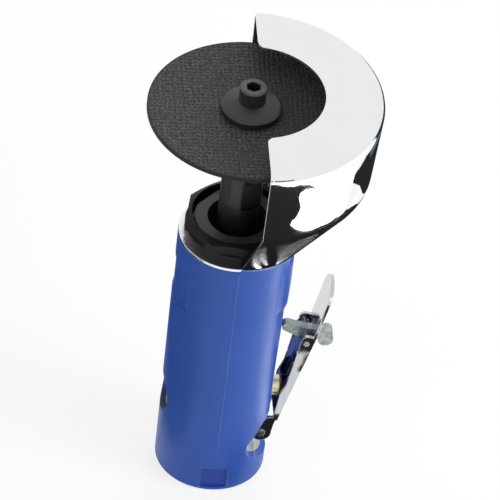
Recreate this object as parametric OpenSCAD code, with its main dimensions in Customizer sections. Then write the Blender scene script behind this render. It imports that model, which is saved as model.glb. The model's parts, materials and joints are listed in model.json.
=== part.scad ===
// Pneumatic cut off tool: an air motor in a straight grip that drives a cutting disc under a guard.
// It stands on its rear end. Z is the motor axis, and the lever and the guard are on the +X side.

/* [Cutting disc] */
// Diameter of the cutting disc
disc_d = 76.2; // [60:0.1:84]
// Thickness of the cutting disc
disc_t = 1.6; // [1:0.1:2.5]
// Diameter of the hole in the disc
disc_bore_d = 9.5; // [8.5:0.1:12]
// Height of the disc above the front end of the grip
disc_lift = 59; // [54:0.5:62]

/* [Arbor and flanges] */
// Diameter of the arbor that carries the disc
arbor_d = 15.6; // [13.5:0.1:16]
// Depth of each of the arbor's wrench flats
arbor_flat = 1.2; // [0.6:0.1:1.8]
// Length of the arbor's wrench flats
arbor_flats_len = 12; // [6:0.5:16]
// Diameter of both flanges
flange_d = 22.4; // [18:0.1:26]
// Thickness of the inner flange
inner_flange_t = 3; // [2:0.1:5]
// Height of the outer flange's rim
outer_flange_rim_h = 3.1; // [2.5:0.1:5]
// Height of the outer flange's crown above its rim
outer_flange_crown_h = 1.8; // [0.6:0.1:2.5]
// Diameter of the disc screw's thread
screw_d = 6; // [5:0.1:7]
// Length of the disc screw under its head
screw_len = 20; // [16:0.5:26]
// Diameter of the disc screw's head
screw_head_d = 10; // [8.5:0.1:11]
// Height of the disc screw's head
screw_head_h = 6.4; // [5:0.1:8]
// Distance across the flats of the screw's hex socket
screw_socket_w = 5; // [4:0.1:5.5]

/* [Guard] */
// Thickness of the guard's sheet
guard_sheet = 1.2; // [0.8:0.1:1.6]
// Room between the disc and the guard's rim
guard_room = 8.6; // [7:0.1:12]
// How far the guard's rim stands out past its fold
guard_flare = 2; // [0.5:0.1:3]
// How far the guard's collar is set in from the grip's edge
collar_inset = 0.15; // [0.05:0.05:0.6]
// Height of the guard's top above the underside of the disc
guard_over = 10.4; // [7:0.1:14]
// Height of the fold above the front end of the grip
guard_fold_h = 35.9; // [30:0.1:42]
// Shift of the guard's wall from the motor axis
guard_shift = 2; // [1:0.1:3]
// Distance of the guard's cut edge from the motor axis
guard_cut = 3.7; // [2:0.1:6]
// How far the cut edge leans across the cone
guard_lean = 3.3; // [0.5:0.1:4.5]
// Diameter of the opening in the guard's top plate
guard_window_d = 50.6; // [40:0.1:60]
// Radius of the guard's rim edge
guard_rim_r = 3.5; // [2:0.1:6]
// Radius of the guard's fold
guard_fold_r = 7; // [3:0.1:12]
// Radius of the corners beside the top plate's opening
guard_corner_r = 3; // [1:0.1:5]

/* [Clamp nut and retainer] */
// How far the clamp nut's round base stands out past its flats
nut_step = 0.7; // [0.5:0.1:1.6]
// Thickness of the clamp nut's wall at its flats
nut_wall = 1.6; // [1.2:0.1:2.2]
// Number of flats on the clamp nut
nut_flats = 8; // [6:1:12]
// Height of the clamp nut's round base
nut_base_h = 4; // [2:0.1:5]
// Height of the clamp nut's flats
nut_flats_h = 5; // [3:0.1:6]
// Thickness of the threaded nose that the clamp nut turns on
nose_wall = 1.5; // [1.2:0.1:2]
// Length of the housing's threaded nose
nose_len = 4.9; // [3.5:0.1:6]
// How far the front retainer's head is set in from the nose
retainer_step = 1.1; // [0.7:0.1:1.4]
// Height of the front retainer's head above the nose
retainer_head_h = 3.3; // [2:0.1:4]
// Depth of each of the front retainer's two flats
retainer_flat = 1.1; // [0.5:0.1:2]
// Gap between the arbor and the front retainer
retainer_room = 3.4; // [2:0.1:3.8]

/* [Grip] */
// Length of the grip
grip_len = 112.6; // [108:0.1:124]
// Thickness of the sleeve at the rear end of the grip
sleeve_rear_t = 2; // [1.6:0.05:2.6]
// Thickness of the sleeve at the front end of the grip
sleeve_front_t = 2.85; // [2.3:0.05:3.6]
// Thickness of the metal housing's wall
housing_wall = 3.1; // [2.6:0.1:3.6]
// Depth of the shallow waist under the lever
waist_depth = 1.2; // [0.4:0.1:1.6]
// Length of the waist
waist_len = 76; // [60:1:80]
// Height of the finger stop on the lever side
stop_h = 1.2; // [0.4:0.1:2]
// Distance of the finger stop's rear end from the front of the grip
stop_back = 32.6; // [30:0.1:35]
// Length of the finger stop
stop_len = 27; // [18:0.5:28]
// Width of the bare label panel around the grip, in degrees
panel_angle = 77; // [40:1:100]
// Length of the bare label panel
panel_len = 17.5; // [10:0.5:22]
// Depth of the bare label panel
panel_depth = 0.4; // [0.2:0.05:0.8]
// Side of the square recess near the rear end
recess_w = 9.6; // [6:0.1:11]
// Depth of the square recess
recess_depth = 1.1; // [0.7:0.1:1.4]

/* [Air motor] */
// Height of the valve block at the rear of the housing
block_len = 49; // [47:0.5:54]
// Least thickness of the motor cylinder's wall
cylinder_wall = 1.8; // [1.6:0.1:2.2]
// Least gap between the rotor and the cylinder's bore
rotor_room = 0.25; // [0.1:0.05:0.6]
// Shift of the cylinder's bore from the motor axis
cylinder_shift = 1.6; // [1.2:0.1:1.8]
// Diameter of the rotor
rotor_d = 20.7; // [19:0.1:22]
// Number of rotor vanes
vanes = 5; // [4:1:6]
// Thickness of a vane
vane_t = 1.6; // [1.2:0.1:2.2]
// Depth of a vane
vane_depth = 5.4; // [4.5:0.1:5.6]
// Thickness of the front end plate round its bearing
bearing_wall = 1.6; // [1.2:0.1:2.2]
// Hole of the front bearing
front_bearing_bore = 12; // [11:0.1:12.6]
// Width of the front bearing
front_bearing_w = 8; // [7:0.1:9]
// Diameter of the rear bearing
rear_bearing_d = 22; // [21:0.1:22.6]
// Hole of the rear bearing
rear_bearing_bore = 8; // [7.4:0.1:8.6]
// Width of the rear bearing
rear_bearing_w = 7; // [6:0.1:8]

/* [Throttle lever and latch] */
// Depth of the lever's pivot under the housing's surface
pivot_depth = 1.1; // [0.8:0.1:1.8]
// Height of the lever's pivot
pivot_z = 18.2; // [17:0.1:20]
// Diameter of the pivot pin
pivot_pin_d = 3.2; // [2.6:0.1:3.6]
// Width of the lever
lever_w = 14.5; // [13:0.1:17]
// Thickness of the lever's sheet
lever_sheet = 1.25; // [1:0.05:1.5]
// Lean of the lever's lower half away from the grip
lever_angle = 14.5; // [14.1:0.1:16]
// How far the lever's upper half is bent back
lever_bend = 3.1; // [2:0.1:6]
// Distance of the lever's inner face from the pivot
lever_offset = 2.6; // [2.5:0.02:2.8]
// Length of the lever from the pivot to the bend
lever_low_len = 51.8; // [49:0.1:54]
// Length of the lever from the bend to the tip
lever_up_len = 23.5; // [18:0.5:32]
// Distance of the latch pin from the pivot, along the lever
latch_along = 47.9; // [46.5:0.1:48.4]
// Diameter of the latch pin
latch_pin_d = 2; // [1.8:0.1:2.1]
// Thickness of the latch
latch_t = 3.2; // [2.4:0.1:4]

/* [Valve and regulator] */
// Height of the throttle valve
valve_z = 36.5; // [35.5:0.1:38]
// Diameter of the brass plunger
plunger_d = 7.8; // [7:0.1:8.4]
// Radius of the plunger's domed end
plunger_dome_r = 6; // [5:0.1:9]
// Height of the air regulator
regulator_z = 33.2; // [31:0.1:34]
// Diameter of the air regulator
regulator_d = 12.9; // [11:0.1:13.4]
// Diameter of the dished opening round the regulator
dish_d = 16.6; // [15.6:0.1:18]

/* [Air inlet and exhaust] */
// Diameter of the threaded air inlet
inlet_d = 11.4; // [9:0.1:12]
// Depth of the threaded air inlet
inlet_depth = 14; // [10:0.5:15]
// Distance across the flats of the inlet bushing
inlet_flats_w = 17; // [16:0.1:17.2]
// Number of slots in the exhaust deflector
exhaust_slots = 10; // [6:1:14]

/* [Hidden] */

$fn = 96;

// How far a cut runs past the face that it opens
overrun = 1;
// Clearance between pieces of one body that are fitted together
seat_gap = 0.05;
// Clearance of a shaft or plunger that runs in a hole
run_gap = 0.06;
// Clearance between pieces that move past each other
part_gap = 0.3;
// Full circle, in degrees
turn = 360;

// Places along the axis, from the rear end
front_z = grip_len;
collar_top_z = front_z + guard_sheet;
nut_top_z = collar_top_z + nut_base_h + nut_flats_h;
nose_top_z = front_z + nose_len;
disc_z = front_z + disc_lift;
disc_top_z = disc_z + disc_t;
retainer_sink = 4.6;
front_seat_z = front_z - retainer_sink;
front_web_t = 3;
rear_web_t = 2.5;
gasket_t = 0.5;
front_plate_z = front_seat_z - front_bearing_w - front_web_t;
rear_plate_z = block_len + gasket_t;
cylinder_z = rear_plate_z + rear_bearing_w + rear_web_t;
cylinder_len = front_plate_z - cylinder_z;
end_gap = 0.1;

// Diameters that follow from the rotor outward
cylinder_bore_d = rotor_d + 2 * (cylinder_shift + rotor_room);
motor_bore_d = cylinder_bore_d + 2 * (cylinder_shift + cylinder_wall);
front_bearing_d = motor_bore_d - 2 * bearing_wall;
housing_d = motor_bore_d + 2 * housing_wall;
grip_rear_d = housing_d + 2 * sleeve_rear_t;
grip_front_d = housing_d + 2 * sleeve_front_t;
nose_d = motor_bore_d + 2 * nose_wall;
nut_flats_w = nose_d + 2 * nut_wall;
nut_base_d = nut_flats_w + 2 * nut_step;
retainer_d = nose_d - 2 * retainer_step;
retainer_bore_d = arbor_d + 2 * retainer_room;
guard_collar_d = grip_front_d - 2 * collar_inset;
guard_d = disc_d + 2 * guard_room;
guard_fold_d = guard_d - 2 * guard_flare;
guard_h = disc_lift + guard_over;
stop_z = grip_len - stop_back;

// Radii that several pieces share
housing_r = housing_d / 2;
sleeve_in_r = housing_r + seat_gap;
motor_bore_r = motor_bore_d / 2;
motor_fit_r = motor_bore_r - seat_gap;
nose_r = nose_d / 2;
screw_r = screw_d / 2;
front_shaft_r = front_bearing_bore / 2 - seat_gap;
rear_shaft_r = rear_bearing_bore / 2 - seat_gap;
arbor_r = arbor_d / 2;
rotor_r = rotor_d / 2;

// Rear end
exhaust_wall = 2.5;
exhaust_r = housing_r - exhaust_wall;
hub_gap = 0.2;
hub_r = inlet_flats_w / 2 / cos(turn / 12) + hub_gap;
exhaust_depth = 10;
inlet_head_h = 4;
inlet_seal_r = 0.55;
hub_z = inlet_head_h + 2 * inlet_seal_r + seat_gap;
inlet_thread_r = 8;
inlet_len = 18;
screen_t = 0.6;
inlet_pocket_z = inlet_len + screen_t + 2 * seat_gap;
inlet_throat_r = 4;

// Throttle valve, along X
plunger_r = plunger_d / 2;
bushing_wall = 1.6;
bushing_r = plunger_r + bushing_wall;
bushing_in_x = 5;
bushing_out_x = housing_r - seat_gap;
plunger_sink = 8.15;
plunger_in_x = bushing_out_x - plunger_sink;
stem_r = 1.4;
stem_in_x = 3.4;
ball_r = 3;
ball_x = stem_in_x - ball_r - seat_gap;
seat_hole_r = 2.3;
seat_x = ball_x + sqrt(ball_r * ball_r - seat_hole_r * seat_hole_r) + seat_gap;
seat_r = 4.55;
chamber_r = 4;
chamber_in_x = -7;
feed_r = 1.6;
feed_x = (cylinder_bore_d / 2 - cylinder_shift + motor_fit_r) / 2;

// Lever frame: the pivot is its origin, Z runs along the lower half of the lever, X points outward
pivot_x = housing_r - pivot_depth;
web_x = pivot_x + (lever_offset + (valve_z - pivot_z) * sin(lever_angle)) / cos(lever_angle);
dome_x = web_x - (plunger_dome_r + part_gap) / cos(lever_angle);
latch_out_share = 0.38;
latch_out = latch_out_share * lever_offset;
latch_x = pivot_x + latch_out * cos(lever_angle) + latch_along * sin(lever_angle);
latch_z = pivot_z - latch_out * sin(lever_angle) + latch_along * cos(lever_angle);
ear_in_y = lever_w / 2 - lever_sheet;

// Radius of the grip at a height above its rear end
function grip_r(z) = (grip_rear_d + (grip_front_d - grip_rear_d) * z / grip_len) / 2;

// Points of a round corner of radius r at p1, between the lines to p0 and p2
function round_corner(p0, p1, p2, r, steps = 6) =
    let (u = (p0 - p1) / norm(p0 - p1))
    let (v = (p2 - p1) / norm(p2 - p1))
    let (half = acos(u * v) / 2)
    let (centre = p1 + (u + v) / norm(u + v) * r / sin(half))
    let (from = p1 + u * r / tan(half) - centre)
    let (to = p1 + v * r / tan(half) - centre)
    let (a = atan2(from[1], from[0]))
    let (swing = atan2(to[1], to[0]) - a)
    let (sweep = swing > turn / 2 ? swing - turn : swing < -turn / 2 ? swing + turn : swing)
    [for (i = [0:steps]) centre + r * [cos(a + sweep * i / steps), sin(a + sweep * i / steps)]];

// Straight sides between two circles, set just inside their outer tangents
link_share = 0.96;
module link_sides(p1, r1, p2, r2) {
    d = p2 - p1;
    a = atan2(d[1], d[0]);
    b = acos((r1 - r2) / norm(d));
    up = link_share * [cos(a + b), sin(a + b)];
    down = link_share * [cos(a - b), sin(a - b)];
    polygon([p1 + r1 * up, p1 + r1 * down, p2 + r2 * down, p2 + r2 * up]);
}

// Two circles joined by straight sides
module link2d(p1, r1, p2, r2) {
    translate(p1) circle(r1);
    translate(p2) circle(r2);
    link_sides(p1, r1, p2, r2);
}

// Flat ring or tube standing on z = 0
module tube(r_out, r_in, h) {
    difference() {
        cylinder(r = r_out, h = h);
        translate([0, 0, -overrun]) cylinder(r = r_in, h = h + 2 * overrun);
    }
}

// Round seal in the plane z = 0
module seal_ring(r, section_r) {
    rotate_extrude() translate([r, 0]) circle(section_r);
}

// Plate in the XZ plane, centred on y = 0, from an outline drawn in x and z
module side_plate(w) {
    rotate([90, 0, 0]) linear_extrude(height = w, center = true) children();
}

// Stands a shape that is drawn along Z along X, from x at height z
module along_x(x, z) {
    translate([x, 0, z]) rotate([0, 90, 0]) children();
}

// Stands a shape that is drawn along Z along Y, centred, at x and z
module along_y(x, z) {
    translate([x, 0, z]) rotate([90, 0, 0]) children();
}

// Places a shape in the lever frame
module in_lever() {
    translate([pivot_x, 0, pivot_z]) rotate([0, lever_angle, 0]) children();
}

// Wound wire springs
spring_sides = 6;
rings_per_curl = 8;

// Centre of ring i of a helix along Z
function helix_at(r, pitch, i) =
    let (a = turn * i / rings_per_curl)
    [r * cos(a), r * sin(a), pitch * i / rings_per_curl];

// Least gap between the wires of neighbouring curls, on the ring centres
function wire_gap(r, pitch, curls, wire_r) =
    let (last = curls * rings_per_curl)
    min([for (i = [0:last], j = [i + rings_per_curl / 2:1:last])
        norm(helix_at(r, pitch, i) - helix_at(r, pitch, j))]) - 2 * wire_r;

// Unit tangent of the helix at ring i
function helix_along(r, pitch, i) =
    let (a = turn * i / rings_per_curl)
    let (t = [-r * sin(a), r * cos(a), pitch / (2 * PI)])
    t / norm(t);

// One ring of wire round a centre, square to the helix at ring i
function wire_ring(centre, r, pitch, i, wire_r) =
    let (a = turn * i / rings_per_curl)
    let (out = [cos(a), sin(a), 0])
    let (side = cross(helix_along(r, pitch, i), out))
    [for (k = [0:spring_sides - 1])
        centre + wire_r * (cos(turn * k / spring_sides) * out + sin(turn * k / spring_sides) * side)];

// One unbroken wire: a straight leg, the curls, and a straight leg
module wound_wire(r, pitch, curls, wire_r, leg) {
    last = curls * rings_per_curl;
    start = helix_at(r, pitch, 0) - leg * helix_along(r, pitch, 0);
    end = helix_at(r, pitch, last) + leg * helix_along(r, pitch, last);
    rings = concat(
        [wire_ring(start, r, pitch, 0, wire_r)],
        [for (i = [0:last]) wire_ring(helix_at(r, pitch, i), r, pitch, i, wire_r)],
        [wire_ring(end, r, pitch, last, wire_r)]
    );
    n = spring_sides;
    top = (len(rings) - 1) * n;
    walls = [
        for (i = [0:len(rings) - 2], k = [0:n - 1], half = [0, 1])
            let (k1 = (k + 1) % n)
            half == 0
                ? [i * n + k, (i + 1) * n + k, (i + 1) * n + k1]
                : [i * n + k, (i + 1) * n + k1, i * n + k1]
    ];
    foot = [for (k = [1:n - 2]) [0, k, k + 1]];
    cap = [for (k = [1:n - 2]) [top, top + k + 1, top + k]];
    polyhedron([for (ring = rings) each ring], concat(walls, foot, cap));
}

// Place and size of the pivot notch: a round pocket that opens out toward its mouth
notch_r = 5.8;
notch_mouth_r = 10.85;
notch_mouth_out = 6.9;
notch_mouth_rise = 0.45;
notch_mouth_x = pivot_x + notch_mouth_out;
notch_mouth_z = pivot_z + notch_mouth_rise;

// Blue grip sleeve
rear_round = 1.2;
front_bevel = 0.4;
sleeve_notch_gap = 0.5;
valve_hole_gap = 0.3;
panel_top_gap = 11;
recess_z = 1.6;
stop_shift = 5;
stop_blend = 4;
blend_steps = 6;
module grip_sleeve() {
    rear_r = grip_r(0);
    front_r = grip_r(grip_len);
    stop_r = grip_r(stop_z + stop_len / 2) + stop_h - stop_shift;
    stop_drop = 2 * stop_h;
    waist_r = (waist_len * waist_len / 4 + waist_depth * waist_depth) / (2 * waist_depth);
    waist_x = grip_r(waist_len / 2) - waist_depth + waist_r;
    panel_z = front_z - panel_top_gap - panel_len;
    panel_r = grip_r(panel_z) - panel_depth;
    dish_x = grip_r(regulator_z);
    color("royalblue")
    difference() {
        union() {
            rotate_extrude()
                polygon(concat(
                    [[sleeve_in_r, 0]],
                    [for (i = [0:blend_steps])
                        let (a = 90 * i / blend_steps)
                        [rear_r - rear_round + rear_round * sin(a), rear_round - rear_round * cos(a)]],
                    [[front_r, front_z - front_bevel]],
                    [[front_r - front_bevel, front_z]],
                    [[sleeve_in_r, front_z]]
                ));
            translate([stop_shift, 0, stop_z])
                rotate_extrude()
                    polygon(concat(
                        [[0, 0]],
                        [for (i = [0:blend_steps])
                            [stop_r - stop_drop * (1 + cos(180 * i / blend_steps)) / 2,
                                stop_blend * i / blend_steps]],
                        [for (i = [0:blend_steps])
                            [stop_r - stop_drop * (1 - cos(180 * i / blend_steps)) / 2,
                                stop_len - stop_blend + stop_blend * i / blend_steps]],
                        [[0, stop_len]]
                    ));
        }
        translate([0, 0, -overrun]) cylinder(r = sleeve_in_r, h = grip_len + 2 * overrun);
        along_y(waist_x, waist_len / 2) cylinder(r = waist_r, h = grip_front_d, center = true, $fn = 720);
        side_plate(grip_front_d)
            link2d(
                [pivot_x, pivot_z], notch_r + sleeve_notch_gap,
                [notch_mouth_x, notch_mouth_z], notch_mouth_r + sleeve_notch_gap
            );
        along_x(0, valve_z) cylinder(r = bushing_r + valve_hole_gap, h = grip_front_d);
        along_x(-dish_x - overrun, regulator_z)
            cylinder(d1 = dish_d + overrun, d2 = regulator_d + part_gap, h = dish_x + overrun - motor_bore_r);
        rotate([0, 0, (turn - panel_angle) / 2])
            rotate_extrude(angle = panel_angle)
                translate([panel_r, panel_z]) square([overrun, panel_len]);
        translate([-recess_w / 2, -rear_r - overrun, recess_z])
            cube([recess_w, recess_depth + overrun, recess_w]);
    }
}

// Die-cast motor housing with the valve block at its rear
channel_x = -2.5;
channel_r = 2.6;
exhaust_hole_r = 2.2;
exhaust_hole_place = (hub_r + exhaust_r) / 2;
exhaust_hole_angles = [75, 105, 255, 285];
regulator_in_x = -9.5;
regulator_sink = 2.3;
regulator_face_x = regulator_sink - housing_r;
regulator_r = regulator_d / 2;
regulator_bore_r = regulator_r + run_gap;
regulator_clip_t = 0.5;
regulator_clip_share = 0.06;
regulator_clip_r = regulator_r + regulator_clip_share * regulator_r;
deflector_z = 1.4;
clip_t = 0.6;
clip_r = exhaust_r + clip_t;
lug_r = 3.4;
lug_root_r = 3.9;
lug_overlap = 1;
lug_gap = 0.2;
lug_w = 2 * (ear_in_y - lug_gap);
module exhaust_holes(z, h) {
    for (a = exhaust_hole_angles)
        rotate([0, 0, a]) translate([exhaust_hole_place, 0, z]) cylinder(r = exhaust_hole_r, h = h);
}
module housing_body() {
    groove_z = deflector_z - clip_t - seat_gap;
    groove_r = clip_r + seat_gap;
    pocket_r = inlet_thread_r + seat_gap;
    rotate_extrude()
        polygon([
            [0, inlet_pocket_z],
            [0, block_len],
            [motor_bore_r, block_len],
            [motor_bore_r, nose_top_z],
            [nose_r, nose_top_z],
            [nose_r, front_z],
            [housing_r, front_z],
            [housing_r, 0],
            [exhaust_r, 0],
            [exhaust_r, groove_z],
            [groove_r, groove_z],
            [groove_r, deflector_z + seat_gap],
            [exhaust_r, deflector_z + seat_gap],
            [exhaust_r, exhaust_depth],
            [hub_r, exhaust_depth],
            [hub_r, hub_z],
            [pocket_r, hub_z],
            [pocket_r, inlet_pocket_z]
        ]);
}
module valve_cavity() {
    along_x(0, valve_z)
        rotate_extrude()
            polygon([
                [0, chamber_in_x],
                [chamber_r, chamber_in_x],
                [chamber_r, seat_x],
                [seat_r + seat_gap, seat_x],
                [seat_r + seat_gap, bushing_in_x],
                [bushing_r + seat_gap, bushing_in_x],
                [bushing_r + seat_gap, housing_r + overrun],
                [0, housing_r + overrun]
            ]);
}
module regulator_cavity() {
    groove_x = regulator_face_x - regulator_clip_t - 2 * seat_gap;
    groove_r = regulator_clip_r + seat_gap;
    along_x(0, regulator_z)
        rotate_extrude()
            polygon([
                [0, regulator_in_x + seat_gap],
                [regulator_bore_r, regulator_in_x + seat_gap],
                [regulator_bore_r, regulator_face_x],
                [groove_r, regulator_face_x],
                [groove_r, groove_x],
                [regulator_bore_r, groove_x],
                [regulator_bore_r, -housing_r - overrun],
                [0, -housing_r - overrun]
            ]);
}
module motor_housing() {
    color("silver")
    difference() {
        union() {
            difference() {
                housing_body();
                along_y(pivot_x, pivot_z) cylinder(r = notch_r, h = grip_front_d, center = true);
                along_y(notch_mouth_x, notch_mouth_z)
                    cylinder(r = notch_mouth_r, h = grip_front_d, center = true);
            }
            side_plate(lug_w)
                link2d([pivot_x, pivot_z], lug_r, [pivot_x - notch_r + lug_overlap, pivot_z], lug_root_r);
        }
        valve_cavity();
        regulator_cavity();
        translate([channel_x, 0, inlet_pocket_z - overrun])
            cylinder(r = channel_r, h = valve_z - inlet_pocket_z);
        translate([feed_x, 0, valve_z]) cylinder(r = feed_r, h = block_len - valve_z + overrun);
        exhaust_holes(exhaust_depth - overrun, block_len - exhaust_depth + 2 * overrun);
        along_y(pivot_x, pivot_z) cylinder(r = pivot_pin_d / 2 + seat_gap, h = housing_d, center = true);
    }
}

// Black clamp nut that holds the guard on the housing's nose
nut_chamfer = 1.6;
nut_slope = 2;
nut_turn = 12;
module clamp_nut() {
    corner_r = nut_flats_w / 2 / cos(turn / 2 / nut_flats);
    top_r = corner_r - nut_slope * nut_chamfer;
    color("dimgray")
    translate([0, 0, collar_top_z])
    difference() {
        union() {
            cylinder(d = nut_base_d, h = nut_base_h);
            translate([0, 0, nut_base_h])
                intersection() {
                    rotate([0, 0, nut_turn]) cylinder(r = corner_r, h = nut_flats_h, $fn = nut_flats);
                    cylinder(r1 = top_r + nut_slope * nut_flats_h, r2 = top_r, h = nut_flats_h);
                }
        }
        translate([0, 0, -overrun]) cylinder(r = nose_r + seat_gap, h = nut_top_z);
    }
}

// Front retainer that holds the front bearing, with two wrench flats
retainer_turn = 135;
module front_retainer() {
    head_z = nose_top_z + seat_gap;
    color("gray")
    difference() {
        union() {
            translate([0, 0, front_seat_z]) cylinder(r = motor_fit_r, h = head_z - front_seat_z);
            translate([0, 0, head_z])
                intersection() {
                    cylinder(d = retainer_d, h = retainer_head_h);
                    rotate([0, 0, retainer_turn])
                        translate([retainer_flat - retainer_d / 2, -retainer_d, 0])
                            cube([retainer_d - 2 * retainer_flat, 2 * retainer_d, retainer_head_h]);
                }
        }
        translate([0, 0, front_seat_z - overrun]) cylinder(d = retainer_bore_d, h = front_z);
    }
}

// Ball bearings: races with a ball groove, and the balls
ball_share = 0.3;
shoulder_share = 0.6;
front_balls = 8;
rear_balls = 7;
function pitch_r(bore, d) = (bore + d) / 4;
function bearing_ball_r(bore, d) = ball_share * (d - bore) / 2;
module outer_race(bore, d, w) {
    ball = bearing_ball_r(bore, d);
    rotate_extrude()
        difference() {
            translate([pitch_r(bore, d) + shoulder_share * ball, 0])
                square([d / 2 - pitch_r(bore, d) - shoulder_share * ball, w]);
            translate([pitch_r(bore, d), w / 2]) circle(ball + run_gap);
        }
}
module inner_race(bore, d, w) {
    ball = bearing_ball_r(bore, d);
    rotate_extrude()
        difference() {
            translate([bore / 2, 0]) square([pitch_r(bore, d) - shoulder_share * ball - bore / 2, w]);
            translate([pitch_r(bore, d), w / 2]) circle(ball + run_gap);
        }
}
module bearing_balls(bore, d, w, count) {
    for (i = [0:count - 1])
        rotate([0, 0, turn * i / count])
            translate([pitch_r(bore, d), 0, w / 2]) sphere(r = bearing_ball_r(bore, d), $fn = 48);
}
front_bearing_z = front_seat_z - front_bearing_w;
module front_bearing_outer_race() {
    color("lightsteelblue") translate([0, 0, front_bearing_z])
        outer_race(front_bearing_bore, front_bearing_d, front_bearing_w);
}
module front_bearing_inner_race() {
    color("lightsteelblue") translate([0, 0, front_bearing_z])
        inner_race(front_bearing_bore, front_bearing_d, front_bearing_w);
}
module front_bearing_balls() {
    color("white") translate([0, 0, front_bearing_z])
        bearing_balls(front_bearing_bore, front_bearing_d, front_bearing_w, front_balls);
}
module rear_bearing_outer_race() {
    color("lightsteelblue") translate([0, 0, rear_plate_z])
        outer_race(rear_bearing_bore, rear_bearing_d, rear_bearing_w);
}
module rear_bearing_inner_race() {
    color("lightsteelblue") translate([0, 0, rear_plate_z])
        inner_race(rear_bearing_bore, rear_bearing_d, rear_bearing_w);
}
module rear_bearing_balls() {
    color("white") translate([0, 0, rear_plate_z])
        bearing_balls(rear_bearing_bore, rear_bearing_d, rear_bearing_w, rear_balls);
}

// End plates of the air motor
shaft_step = 0.6;
shaft_gap = 0.4;
pin_r = 1.2;
pin_place = (cylinder_bore_d / 2 + motor_fit_r) / 2;
module cylinder_pin_hole() {
    translate([0, pin_place, 0]) cylinder(r = pin_r + seat_gap, h = front_z);
}
module front_end_plate() {
    color("tan")
    difference() {
        translate([0, 0, front_plate_z]) cylinder(r = motor_fit_r, h = front_web_t + front_bearing_w);
        translate([0, 0, front_bearing_z]) cylinder(d = front_bearing_d + 2 * seat_gap, h = front_z);
        cylinder(r = front_shaft_r + shaft_step + shaft_gap, h = front_z);
        cylinder_pin_hole();
    }
}
module rear_end_plate() {
    color("tan")
    difference() {
        translate([0, 0, rear_plate_z]) cylinder(r = motor_fit_r, h = rear_bearing_w + rear_web_t);
        translate([0, 0, rear_plate_z - overrun])
            cylinder(d = rear_bearing_d + 2 * seat_gap, h = rear_bearing_w + overrun);
        cylinder(r = rear_shaft_r + shaft_step + shaft_gap, h = front_z);
        translate([feed_x, 0, 0]) cylinder(r = feed_r, h = front_z);
        cylinder_pin_hole();
    }
}

// Motor cylinder with its off-centre bore, inlet passage and exhaust slots
exhaust_port_w = 2.4;
exhaust_port_len = 8;
exhaust_ports = 3;
module motor_cylinder() {
    color("slategray")
    difference() {
        translate([0, 0, cylinder_z]) cylinder(r = motor_fit_r, h = cylinder_len);
        translate([-cylinder_shift, 0, 0]) cylinder(d = cylinder_bore_d, h = front_z);
        translate([feed_x, 0, cylinder_z - overrun]) cylinder(r = feed_r, h = cylinder_len / 2);
        for (i = [0:exhaust_ports - 1])
            translate([0, 0, cylinder_z + cylinder_len * (i + 1) / (exhaust_ports + 1)])
                translate([-motor_bore_r, -exhaust_port_len / 2, 0])
                    cube([motor_bore_r / 2, exhaust_port_len, exhaust_port_w]);
        cylinder_pin_hole();
    }
}
module cylinder_pin() {
    start = rear_plate_z + rear_web_t;
    color("silver") translate([0, pin_place, start]) cylinder(r = pin_r, h = front_bearing_z - start);
}
gasket_in_r = 10;
module motor_gasket() {
    color("darkslategray")
    difference() {
        translate([0, 0, block_len]) tube(motor_fit_r, gasket_in_r, gasket_t);
        translate([feed_x, 0, 0]) cylinder(r = feed_r, h = front_z);
        exhaust_holes(0, front_z);
    }
}

// Rotor with its shafts, and the vanes in its slots
vane_gap = 0.05;
thread_step = 0.95;
arbor_thread_r = front_shaft_r - thread_step;
arbor_thread_len = 13;
rotor_z = cylinder_z + end_gap;
rotor_len = cylinder_len - 2 * end_gap;
module vane_places() {
    for (i = [0:vanes - 1])
        rotate([0, 0, turn * i / vanes]) children();
}
module rotor() {
    slot_w = vane_t + 2 * vane_gap;
    slot_depth = vane_depth + 2 * vane_gap;
    color("lightgray")
    difference() {
        union() {
            translate([0, 0, rotor_z]) cylinder(r = rotor_r, h = rotor_len);
            translate([0, 0, rear_plate_z]) cylinder(r = rear_shaft_r, h = rotor_z - rear_plate_z + overrun);
            translate([0, 0, rear_plate_z + rear_bearing_w])
                cylinder(r = rear_shaft_r + shaft_step, h = rear_web_t + overrun);
            translate([0, 0, front_plate_z - overrun])
                cylinder(r = front_shaft_r + shaft_step, h = front_web_t + overrun);
            translate([0, 0, front_plate_z]) cylinder(r = front_shaft_r, h = front_seat_z - front_plate_z);
            translate([0, 0, front_plate_z])
                cylinder(r = arbor_thread_r, h = front_seat_z - front_plate_z + arbor_thread_len);
        }
        vane_places()
            translate([rotor_r - slot_depth, -slot_w / 2, rotor_z - end_gap / 2])
                cube([slot_depth + overrun, slot_w, rotor_len + end_gap]);
    }
}
module rotor_vanes() {
    color("peru")
    vane_places()
        intersection() {
            translate([rotor_r - vane_depth - vane_gap, -vane_t / 2, rotor_z + end_gap])
                cube([vane_depth + overrun, vane_t, rotor_len - 2 * end_gap]);
            translate([0, 0, rotor_z]) cylinder(r = rotor_r - vane_gap, h = rotor_len);
        }
}

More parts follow.
